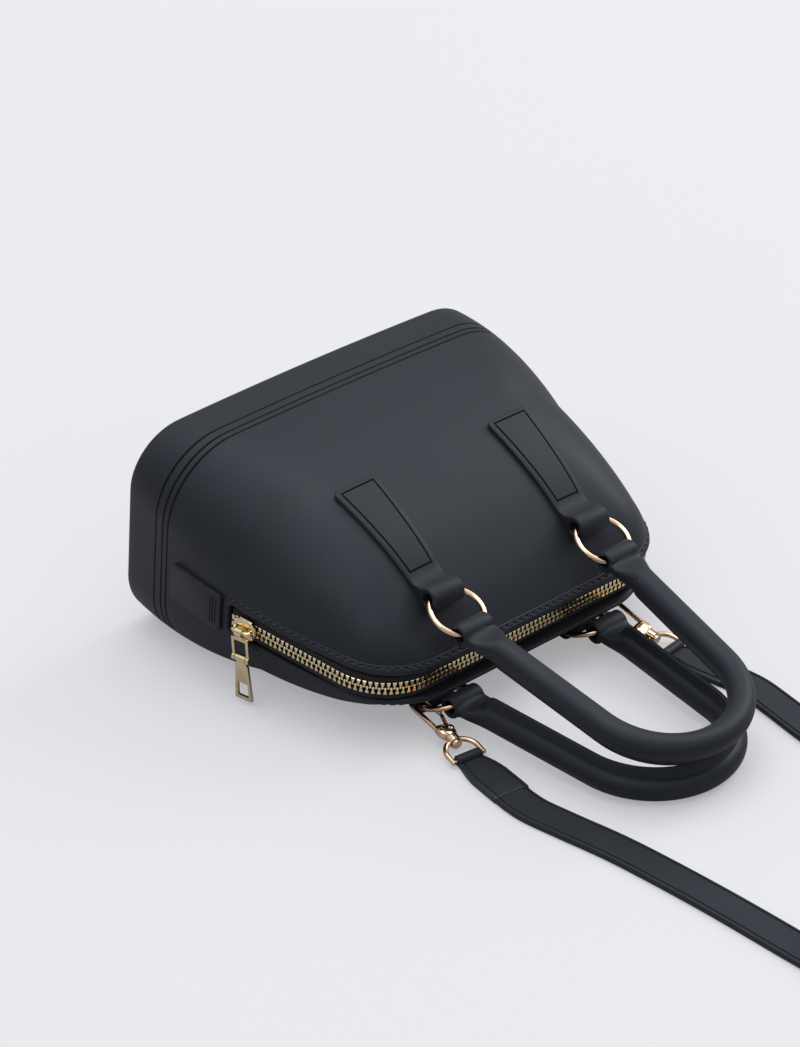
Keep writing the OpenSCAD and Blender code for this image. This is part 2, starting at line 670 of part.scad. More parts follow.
// Crown's bar lies level, so that the puller hangs straight down.
bar_y = plate_low + slider_t + crown_rise;
module on_bar() {
    on_chain(slider_s) translate([0, bar_y, 0]) rotate([0, lie_tilt * cos(run_lean), 0])
        children();
}
crown_foot = 2 * crown_bar_r;
module slider_crown() {
    color(pale_gold) difference() {
        on_bar() {
            cylinder(r = crown_bar_r, h = crown_l, center = true, $fn = 32);
            for (end = [-1, 1])
                translate([0, -crown_rise / 2 - crown_foot / 8, end * (crown_l - crown_foot) / 2])
                    cube([crown_foot, crown_rise + crown_foot / 4, crown_foot], center = true);
        }
        on_chain(slider_s) cube([slider_w, 2 * (plate_low + slider_t), slider_l], center = true);
    }
}

// Puller hanging from the crown's bar: link with an eye, a pin, and the pull plate.
link_bore = crown_bar_r + run_clear;
link_eye_r = link_bore + eye_wall;
pull_bore = link_pin_r + run_clear;
pull_eye_r = pull_bore + eye_wall;
pull_eye_w = pull_w - 2 * link_arm_w - 2 * touch;
fork_w = pull_eye_w + 2 * touch + 2 * link_arm_w;
module puller_link() {
    bridge_x = link_eye_r + link_arm_w;
    color(pale_gold) on_bar() difference() {
        union() {
            cylinder(r = link_eye_r, h = link_eye_w, center = true);
            translate([-bridge_x / 2, 0, 0])
                cube([bridge_x, 2 * link_pin_r, link_eye_w], center = true);
            translate([-bridge_x + link_arm_w / 4, 0, 0])
                cube([link_arm_w, 2 * link_pin_r, fork_w], center = true);
            for (side = [-1, 1]) {
                translate([-(bridge_x + link_l) / 2, 0, side * (fork_w - link_arm_w) / 2])
                    cube([link_l - bridge_x + link_arm_w, 2 * link_pin_r, link_arm_w],
                        center = true);
                translate([-link_l, 0, side * (fork_w - link_arm_w) / 2])
                    cylinder(r = pull_eye_r, h = link_arm_w, center = true);
            }
        }
        cylinder(r = link_bore, h = 2 * link_eye_w, center = true);
        translate([-link_l, 0, 0]) cylinder(r = link_pin_r, h = 2 * fork_w, center = true);
    }
}
module puller_pin() {
    color(pale_gold) on_bar() translate([-link_l, 0, 0])
        cylinder(r = link_pin_r, h = fork_w, center = true);
}
module pull_plate() {
    corner = pull_t;
    color(pale_gold) on_bar() translate([-link_l, 0, 0]) difference() {
        union() {
            cylinder(r = pull_eye_r, h = pull_eye_w, center = true);
            translate([-pull_eye_r - eye_wall, 0, 0])
                cube([2 * pull_eye_r, pull_t, pull_eye_w], center = true);
            translate([0, pull_t / 2, 0]) rotate([90, 0, 0]) linear_extrude(pull_t)
                polygon([[-2 * pull_eye_r, -pull_w / 2 + corner], [-2 * pull_eye_r, pull_w / 2 - corner],
                    [-2 * pull_eye_r - corner, pull_w / 2], [corner - pull_l, pull_w / 2],
                    [-pull_l, pull_w / 2 - corner], [-pull_l, corner - pull_w / 2],
                    [corner - pull_l, -pull_w / 2], [-2 * pull_eye_r - corner, -pull_w / 2]]);
        }
        cylinder(r = pull_bore, h = 2 * pull_eye_w, center = true);
        translate([(pull_w - window_w) / 2 + window_h / 2 - pull_l, 0, 0])
            cube([window_h, 2 * pull_t, window_w], center = true);
    }
}

// Place of the hooks' necks, from the middle of the back rings.
hook_x = ring_x + hook_out;
hook_y = hook_beyond + ring_off * cos(back_ring_lift) - back_loop_y;
hook_z = back_loop_z + ring_off * sin(back_ring_lift) - hook_sink;

// Strap hook in its own frame: Y towards the nose, Z through its thickness.
module hook_place(side, roll = hook_roll) {
    mirror([side < 0 ? 1 : 0, 0, 0]) translate([hook_x, -hook_y, hook_z])
        rotate([0, 0, hook_yaw]) rotate([hook_pitch, 0, 0]) mirror([1, 0, 0])
            rotate([0, roll, 0]) children();
}
// In this frame +X is the gate's side, towards the middle of the bag.
pivot_x = hook_base / 2;
pivot_y = hook_base_l - 2 * gate_w - touch / 2;
gate_hub_r = gate_w;
nose_x = -nose_r / 40;
tip_x = nose_x + nose_r - arm_w / 2;
tip_l = 2.8 * arm_w;
tip_y = hook_l - 2 * touch - tip_l;
module hook_outline() {
    translate([nose_x, hook_l]) difference() {
        circle(nose_r);
        circle(nose_r - arm_w);
        translate([-2 * nose_r, -2 * nose_r]) square([4 * nose_r, 2 * nose_r]);
    }
    polygon([[nose_x - nose_r, hook_l], [nose_x - nose_r + arm_w, hook_l],
        [arm_w - hook_base, hook_base_l / 2], [-hook_base, hook_base_l / 2]]);
    translate([nose_x + nose_r - arm_w, hook_l - tip_l]) square([arm_w, tip_l]);
}
module hook_body(side) {
    slot_t = gate_t + touch;
    color(gold) hook_place(side) difference() {
        union() {
            translate([0, 0, -hook_t / 2]) linear_extrude(hook_t) hook_outline();
            translate([-hook_base, 0, -hook_base_t / 2])
                cube([2 * hook_base, hook_base_l - gate_w, hook_base_t]);
        }
        translate([pivot_x - gate_hub_r - touch, pivot_y - gate_hub_r - touch, -slot_t / 2])
            cube([hook_base + gate_hub_r, hook_base_l, slot_t]);
        translate([pivot_x, pivot_y, 0]) cylinder(r = gate_pin_r, h = 2 * hook_base_t, center = true);
        rotate([90, 0, 0]) cylinder(r = swivel_r, h = hook_base_l / 2, center = true);
    }
}
spring_t = gate_t / 4;
spring_r = gate_pin_r + gate_w / 4;
module hook_gate(side) {
    a = [tip_x, tip_y];
    color(gold) hook_place(side) difference() {
        translate([0, 0, -gate_t / 2]) linear_extrude(gate_t) {
            translate([pivot_x, pivot_y]) circle(gate_hub_r);
            polygon([[pivot_x - gate_w / 2, pivot_y], [pivot_x + gate_w / 2, pivot_y],
                [a[0] + gate_w / 2, a[1]], [a[0] - gate_w / 2, a[1]]]);
        }
        translate([pivot_x, pivot_y, 0])
            cylinder(r = gate_pin_r + run_clear, h = 2 * gate_t, center = true);
        translate([pivot_x, pivot_y, gate_t / 2 - spring_t])
            cylinder(r = spring_r + run_clear, h = gate_t);
    }
}
module hook_pin(side) {
    color(gold) hook_place(side) translate([pivot_x, pivot_y, 0])
        cylinder(r = gate_pin_r, h = hook_base_t, center = true);
}
module hook_spring(side) {
    color(gold) hook_place(side) translate([pivot_x, pivot_y, gate_t / 2 - spring_t + run_clear])
        difference() {
            cylinder(r = spring_r, h = spring_t);
            translate([0, 0, -spring_t]) cylinder(r = gate_pin_r, h = 4 * spring_t);
        }
}
swivel_l = collar_l + 2 * touch;
module hook_swivel(side) {
    color(gold) hook_place(side) rotate([90, 0, 0]) {
        translate([0, 0, -hook_base_l / 4]) cylinder(r = swivel_r, h = hook_base_l / 4 + swivel_l);
        translate([0, 0, swivel_l]) cylinder(r = swivel_head_r, h = head_t);
    }
}
ring_cy = touch + collar_l / 2 + strap_ring_r;
run_wire_share = 0.94;
module strap_ring(side) {
    run_wire = strap_ring_wire * run_wire_share;
    color(gold) hook_place(side, 0) difference() {
        union() {
            translate([0, -ring_cy, 0]) rotate_extrude(angle = 180)
                translate([strap_ring_r, 0]) circle(d = strap_ring_wire, $fn = 32);
            for (x = [-1, 1]) {
                translate([x * strap_ring_r, -ring_cy, 0]) rotate([90, 0, 0])
                    cylinder(d = run_wire, h = strap_ring_l - ring_cy, $fn = 32);
                translate([x * strap_ring_r, -strap_ring_l, 0])
                    sphere(d = strap_ring_wire, $fn = 32);
            }
            translate([-strap_ring_r, -strap_ring_l, 0]) rotate([0, 90, 0])
                cylinder(d = run_wire, h = 2 * strap_ring_r, $fn = 32);
            translate([0, -touch, 0]) rotate([90, 0, 0]) cylinder(r = collar_r, h = collar_l);
        }
        rotate([90, 0, 0]) cylinder(r = swivel_r + run_clear, h = 2 * collar_l);
    }
}
module hook_body_left() { hook_body(-1); }
module hook_gate_left() { hook_gate(-1); }
module hook_pin_left() { hook_pin(-1); }
module hook_spring_left() { hook_spring(-1); }
module hook_swivel_left() { hook_swivel(-1); }
module strap_ring_left() { strap_ring(-1); }
module hook_body_right() { hook_body(1); }
module hook_gate_right() { hook_gate(1); }
module hook_pin_right() { hook_pin(1); }
module hook_spring_right() { hook_spring(1); }
module hook_swivel_right() { hook_swivel(1); }
module strap_ring_right() { strap_ring(1); }

// Folded strap end: a roll round the ring's bar, then the sewn fold lying level.
bar_yaw_x = hook_x + strap_ring_l * cos(hook_pitch) * sin(hook_yaw);
bar_place_y = hook_y + strap_ring_l * cos(hook_pitch) * cos(hook_yaw);
bar_place_z = hook_z - strap_ring_l * sin(hook_pitch);
roll_r = strap_ring_wire / 2 + touch / 2 + strap_t / 2;
fold_z = strap_t / 2 + touch / 2;
module strap_end(side) {
    fold_start = roll_r;
    color(rubber) mirror([side < 0 ? 1 : 0, 0, 0])
        translate([bar_yaw_x, -bar_place_y, bar_place_z]) rotate([0, 0, hook_yaw]) difference() {
            union() {
                rotate([0, 90, 0]) cylinder(r = roll_r, h = strap_neck_w, center = true);
                translate([0, 0, fold_z - bar_place_z - strap_t / 2]) linear_extrude(strap_t)
                    polygon([[-strap_neck_w / 2, 0], [strap_neck_w / 2, 0],
                        [strap_neck_w / 2, -fold_start], [strap_w / 2, -fold_start - strap_neck_w],
                        [strap_w / 2, -strap_end_l], [-strap_w / 2, -strap_end_l],
                        [-strap_w / 2, -fold_start - strap_neck_w], [-strap_neck_w / 2, -fold_start]]);
            }
            rotate([0, 90, 0])
                cylinder(r = strap_ring_wire / 2 + touch / 2, h = 2 * strap_w, center = true);
        }
}
module strap_end_left() { strap_end(-1); }
module strap_end_right() { strap_end(1); }

// Free strap: route points are across, along and roll of the flat band about its run.
end_x = bar_yaw_x + strap_end_l * sin(hook_yaw);
end_y = bar_place_y + strap_end_l * cos(hook_yaw);
turn_r = 56;
turn_y = 560;
near_run = [[-58, -230, 0], [-57, -300, 0], [-56, -350, 0], [-56, -400, 10], [-56, -440, 30],
    [-56, -480, 60], [-56, -520, 85]];
far_run = [[56, -520, 85], [56, -480, 60], [56, -440, 30], [56, -400, 10], [56, -350, 0],
    [56, -300, 0], [57, -240, 0]];
turn_steps = 10;
function turn_points() = [for (k = [0:turn_steps])
    let (g = 180 + 180 * k / turn_steps) [turn_r * cos(g), turn_r * sin(g) - turn_y, 90]];
route = concat([[-end_x, -end_y, 0]], near_run, turn_points(), far_run, [[end_x, -end_y, 0]]);
function heading(k) = k == 0 ? [-sin(hook_yaw), -cos(hook_yaw)]
    : k == len(route) - 1 ? [-sin(hook_yaw), cos(hook_yaw)]
    : let (d = [route[k + 1][0] - route[k - 1][0], route[k + 1][1] - route[k - 1][1]])
        d / norm(d);
edge_share = 0.75;
function band_section() = let (w = strap_w / 2, t = strap_t / 2)
    [[-w, -t * edge_share], [-w * 0.96, -t], [w * 0.96, -t], [w, -t * edge_share],
        [w, t * edge_share], [w * 0.96, t], [-w * 0.96, t], [-w, t * edge_share]];
module shoulder_strap() {
    n = len(route);
    m = len(band_section());
    points = [for (k = [0:n - 1]) let (d = heading(k), a = route[k][2],
        side = [d[1], -d[0]],
        mid_z = strap_w / 2 * sin(a) + strap_t / 2 * cos(a) + touch / 2)
        each [for (p = band_section())
            [route[k][0] + side[0] * (p[0] * cos(a) - p[1] * sin(a)),
                route[k][1] + side[1] * (p[0] * cos(a) - p[1] * sin(a)),
                mid_z + p[0] * sin(a) + p[1] * cos(a)]]];
    sides = [for (i = [0:n - 2], j = [0:m - 1]) let (k = (j + 1) % m)
        each [[i * m + j, (i + 1) * m + j, (i + 1) * m + k],
            [i * m + j, (i + 1) * m + k, i * m + k]]];
    color(rubber) polyhedron(points = points, faces = concat([[for (j = [0:m - 1]) j]], sides,
        [[for (j = [m - 1:-1:0]) (n - 1) * m + j]]));
}

body_shell();
tab_front_left();
tab_front_right();
tab_back_left();
tab_back_right();
ring_front_left();
ring_front_right();
ring_back_left();
ring_back_right();
handle_front_cover();
handle_front_core();
handle_back_cover();
handle_back_core();
end_tab_left();
end_tab_right();
zip_tape_front();
zip_tape_back();
zip_teeth_front();
zip_teeth_back();
zip_stops_open_end();
zip_stop_closed_end();
slider_body();
slider_crown();
puller_link();
puller_pin();
pull_plate();
hook_body_left();
hook_gate_left();
hook_pin_left();
hook_spring_left();
hook_swivel_left();
strap_ring_left();
hook_body_right();
hook_gate_right();
hook_pin_right();
hook_spring_right();
hook_swivel_right();
strap_ring_right();
strap_end_left();
strap_end_right();
shoulder_strap();
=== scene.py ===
"""Dresses the moulded top handle bag: body, tabs, handles, zip, hooks and shoulder strap."""

import json
import logging
import math
from dataclasses import dataclass, field
from enum import Enum
from typing import Callable, Sequence

import bmesh
import bpy
from mathutils import Matrix, Vector

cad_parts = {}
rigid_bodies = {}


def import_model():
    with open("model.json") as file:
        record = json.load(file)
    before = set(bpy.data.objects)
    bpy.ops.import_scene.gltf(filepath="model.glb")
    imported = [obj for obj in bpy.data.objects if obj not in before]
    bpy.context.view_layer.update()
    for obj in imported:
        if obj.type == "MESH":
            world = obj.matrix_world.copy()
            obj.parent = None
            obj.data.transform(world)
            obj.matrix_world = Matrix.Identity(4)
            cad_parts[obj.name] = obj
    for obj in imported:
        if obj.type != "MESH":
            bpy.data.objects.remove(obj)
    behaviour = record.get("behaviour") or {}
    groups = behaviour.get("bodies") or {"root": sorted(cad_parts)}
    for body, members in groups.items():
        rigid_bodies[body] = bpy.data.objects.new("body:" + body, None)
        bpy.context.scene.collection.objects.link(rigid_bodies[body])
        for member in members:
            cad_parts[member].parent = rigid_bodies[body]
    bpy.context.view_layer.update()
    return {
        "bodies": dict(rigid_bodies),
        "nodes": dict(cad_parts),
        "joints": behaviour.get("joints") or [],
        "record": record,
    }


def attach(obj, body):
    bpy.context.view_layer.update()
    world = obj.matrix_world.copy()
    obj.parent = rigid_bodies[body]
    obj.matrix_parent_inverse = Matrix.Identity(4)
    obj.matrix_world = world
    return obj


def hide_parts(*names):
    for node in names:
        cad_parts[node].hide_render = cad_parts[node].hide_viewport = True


MM = 0.001
LOG = logging.getLogger("bag")


class Side(Enum):
    """The two ends of the bag, as signs of X."""

    LEFT = -1
    RIGHT = 1


class Panel(Enum):
    """The two large panels of the bag, as signs of its depth."""

    FRONT = 1
    BACK = -1


# Materials


class NodeBench:
    """Adds shader nodes to one material and links them."""

    def __init__(self, name: str) -> None:
        """Starts an empty node material of that name."""
        self.material = bpy.data.materials.new(name)
        self.material.use_nodes = True
        self.tree = self.material.node_tree
        self.tree.nodes.clear()
        self.output = self.tree.nodes.new("ShaderNodeOutputMaterial")

    def add(self, kind: str, inputs: dict | None = None, **settings: object) -> bpy.types.Node:
        """Adds a node.

        Args:
            kind: The node's type name without its ShaderNode prefix.
            inputs: Socket names or numbers with a value or a socket to link.
            settings: Plain attributes of the node.

        Returns:
            The new node.
        """
        node = self.tree.nodes.new("ShaderNode" + kind)
        for key, value in settings.items():
            setattr(node, key, value)
        for key, value in (inputs or {}).items():
            socket = node.inputs[key]
            if isinstance(value, bpy.types.NodeSocket):
                self.tree.links.new(value, socket)
            else:
                socket.default_value = value
        return node

    def noise(self, where: bpy.types.NodeSocket, scale: float, detail: float = 3.0) -> bpy.types.NodeSocket:
        """Returns the value socket of a noise at that scale."""
        return self.add("TexNoise", {"Vector": where, "Scale": scale, "Detail": detail}).outputs[0]

    def spread(self, value: bpy.types.NodeSocket, low: float, high: float, cut: tuple[float, float] = (0.3, 0.7)) -> bpy.types.NodeSocket:
        """Returns a value mapped from the cut range to low and high."""
        return self.add("MapRange", {0: value, 1: cut[0], 2: cut[1], 3: low, 4: high}).outputs[0]

    def blend(self, share: bpy.types.NodeSocket, first: Sequence[float], second: Sequence[float]) -> bpy.types.NodeSocket:
        """Returns a colour between two colours."""
        node = self.add("Mix", data_type="RGBA")
        self.tree.links.new(share, node.inputs[0])
        node.inputs[6].default_value = (*first, 1)
        node.inputs[7].default_value = (*second, 1)
        return node.outputs[2]

    def math(self, operation: str, first: object, second: object) -> bpy.types.NodeSocket:
        """Returns the result of a two-value sum."""
        return self.add("Math", {0: first, 1: second}, operation=operation).outputs[0]

    def finish(self, inputs: dict) -> bpy.types.Material:
        """Closes the material with a principled shader of these inputs."""
        shader = self.add("BsdfPrincipled", inputs)
        self.tree.links.new(shader.outputs[0], self.output.inputs[0])
        return self.material


@dataclass(frozen=True)
class MouldedRubber:
    """Matt black moulded rubber with a fine bloom and small specks.

    Attributes:
        name: Name of the material.
        dark: Colour of the clean rubber.
        pale: Colour where handling has left a bloom.
        roughness: Middle roughness.
        grain: Depth of the fine moulded grain in metres.
        specks: How strongly dust specks show.
    """

    name: str
    dark: tuple[float, float, float] = (0.0080, 0.0092, 0.0122)
    pale: tuple[float, float, float] = (0.0115, 0.0130, 0.0168)
    roughness: float = 0.50
    grain: float = 0.00003
    specks: float = 0.35

    def make(self) -> bpy.types.Material:
        """Returns the rubber material."""
        bench = NodeBench(self.name)
        where = bench.add("TexCoord").outputs["Object"]
        cloud = bench.noise(where, 22.0, 4.0)
        fine = bench.noise(where, 900.0, 4.0)
        grain = bench.noise(where, 2600.0, 2.0)
        colour = bench.blend(bench.spread(cloud, 0.0, 1.0), self.dark, self.pale)
        dust = bench.add("TexVoronoi", {"Vector": where, "Scale": 130.0}).outputs["Distance"]
        speck = bench.spread(dust, self.specks, 0.0, (0.03, 0.075))
        rare = bench.spread(bench.noise(where, 60.0), 0.0, 1.0, (0.62, 0.66))
        share = bench.math("MULTIPLY", speck, rare)
        mix = bench.add("Mix", data_type="RGBA")
        bench.tree.links.new(share, mix.inputs[0])
        bench.tree.links.new(colour, mix.inputs[6])
        mix.inputs[7].default_value = (0.16, 0.16, 0.17, 1)
        rough = bench.math(
            "ADD",
            bench.spread(cloud, self.roughness - 0.04, self.roughness + 0.05),
            bench.spread(fine, -0.03, 0.03),
        )
        height = bench.math("ADD", bench.math("MULTIPLY", grain, 0.6), bench.math("MULTIPLY", fine, 1.0))
        bump = bench.add("Bump", {"Height": height, "Distance": self.grain, "Strength": 0.6})
        return bench.finish(
            {
                "Base Color": mix.outputs[2],
                "Roughness": rough,
                "Specular IOR Level": 0.42,
                "Specular Tint": (0.86, 0.93, 1.0, 1),
                "Sheen Weight": 0.05,
                "Sheen Roughness": 0.5,
                "Normal": bump.outputs[0],
            }
        )


@dataclass(frozen=True)
class PlatedMetal:
    """Polished or satin gold-coloured plating.

    Attributes:
        name: Name of the material.
        base: Colour of the plating.
        worn: Colour where it is thin.
        roughness: Middle roughness.
    """

    name: str
    base: tuple[float, float, float]
    worn: tuple[float, float, float]
    roughness: float

    def make(self) -> bpy.types.Material:
        """Returns the metal material."""
        bench = NodeBench(self.name)
        where = bench.add("TexCoord").outputs["Object"]
        cloud = bench.noise(where, 160.0, 3.0)
        fine = bench.noise(where, 1500.0, 3.0)
        colour = bench.blend(bench.spread(cloud, 0.0, 1.0, (0.42, 0.72)), self.base, self.worn)
        rough = bench.math(
            "ADD",
            bench.spread(cloud, self.roughness - 0.03, self.roughness + 0.04),
            bench.spread(fine, -0.02, 0.03),
        )
        bump = bench.add("Bump", {"Height": fine, "Distance": 0.000002, "Strength": 0.2})
        return bench.finish(
            {
                "Base Color": colour,
                "Metallic": 1.0,
                "Roughness": rough,
                "Normal": bump.outputs[0],
            }
        )


@dataclass(frozen=True)
class WovenTape:
    """Black woven zip tape with ribs that follow its length.

    Attributes:
        name: Name of the material.
        dark: Colour between the ribs.
        light: Colour of the ribs.
    """

    name: str
    dark: tuple[float, float, float] = (0.0045, 0.0045, 0.0052)
    light: tuple[float, float, float] = (0.016, 0.016, 0.018)

    def make(self) -> bpy.types.Material:
        """Returns the tape material, which reads the piece's own UV map."""
        bench = NodeBench(self.name)
        where = bench.add("UVMap").outputs[0]
        across = bench.add(
            "TexWave",
            {"Vector": where, "Scale": 0.35, "Distortion": 0.4},
            wave_type="BANDS",
            bands_direction="X",
        ).outputs[1]
        along = bench.add(
            "TexWave",
            {"Vector": where, "Scale": 0.28, "Distortion": 0.3},
            wave_type="BANDS",
            bands_direction="Y",
        ).outputs[1]
        weave = bench.math("MULTIPLY", across, along)
        colour = bench.blend(weave, self.dark, self.light)
        bump = bench.add("Bump", {"Height": weave, "Distance": 0.00012, "Strength": 0.8})
        return bench.finish(
            {
                "Base Color": colour,
                "Roughness": bench.spread(weave, 0.9, 0.78),
                "Sheen Weight": 0.08,
                "Normal": bump.outputs[0],
            }
        )


@dataclass(frozen=True)
class SewingThread:
    """Waxed black thread with a fine twist."""

    name: str = "sewing_thread"

    def make(self) -> bpy.types.Material:
        """Returns the thread material."""
        bench = NodeBench(self.name)
        where = bench.add("TexCoord").outputs["Object"]
        twist = bench.add(
            "TexWave",
            {"Vector": where, "Scale": 900.0, "Distortion": 1.0},
            bands_direction="DIAGONAL",
        ).outputs[1]
        colour = bench.blend(twist, (0.004, 0.004, 0.005), (0.03, 0.03, 0.034))
        bump = bench.add("Bump", {"Height": twist, "Distance": 0.00005, "Strength": 0.6})
        return bench.finish({"Base Color": colour, "Roughness": bench.spread(twist, 0.6, 0.4), "Normal": bump.outputs[0]})


@dataclass(frozen=True)
class StudioFloor:
    """Plain pale floor and backdrop that keeps the bag's shadow.

    Attributes:
        colour: Colour of the floor.
        plain: Share of the floor's colour that no shadow darkens.
        lit: Brightness of the shadowed part against the plain part.
        bounce: The same as the bag sees it.
    """

    colour: tuple[float, float, float] = (0.839, 0.839, 0.871)
    plain: float = 0.40
    lit: tuple[float, float, float] = (0.945, 0.937, 0.884)
    bounce: float = 0.5

    def make(self) -> bpy.types.Material:
        """Returns the floor material, which keeps a soft part of every shadow."""
        bench = NodeBench("studio_floor")
        where = bench.add("TexCoord").outputs["Object"]
        low = tuple(c * 0.994 for c in self.colour)
        colour = bench.blend(bench.noise(where, 1.2, 2.0), low, self.colour)
        flat = bench.add("Emission", {"Color": colour, "Strength": 1.0}).outputs[0]
        rays = bench.add("LightPath").outputs
        seen = rays["Is Camera Ray"]
        shade = bench.blend(seen, [c * self.bounce for c in self.colour], [c * k for c, k in zip(self.colour, self.lit)])
        lit = bench.add("BsdfDiffuse", {"Color": shade}).outputs[0]
        mix = bench.add("MixShader", {0: bench.math("MULTIPLY", seen, self.plain), 1: lit, 2: flat})
        bench.tree.links.new(mix.outputs[0], bench.output.inputs[0])
        return bench.material


@dataclass
class Finishes:
    """Every material that the bag uses, made once."""

    rubber: bpy.types.Material = field(default_factory=MouldedRubber("moulded_rubber").make)
    strap: bpy.types.Material = field(
        default_factory=MouldedRubber("strap_rubber", (0.0105, 0.0116, 0.0148), (0.015, 0.0165, 0.0215), 0.44, 0.00002, 0.2).make
    )
    filler: bpy.types.Material = field(
        default_factory=MouldedRubber("filler_rubber", (0.02, 0.02, 0.02), (0.03, 0.03, 0.03), 0.7, 0.00005, 0.1).make
    )
    rose: bpy.types.Material = field(
        default_factory=PlatedMetal("rose_gold", (0.95, 0.66, 0.44), (0.92, 0.62, 0.40), 0.11).make
    )
    pale: bpy.types.Material = field(
        default_factory=PlatedMetal("pale_gold", (0.99, 0.82, 0.50), (0.96, 0.76, 0.44), 0.15).make
    )
    tape: bpy.types.Material = field(default_factory=WovenTape("zip_cloth").make)
    thread: bpy.types.Material = field(default_factory=SewingThread().make)


# Places and shapes shared by several sub-assemblies


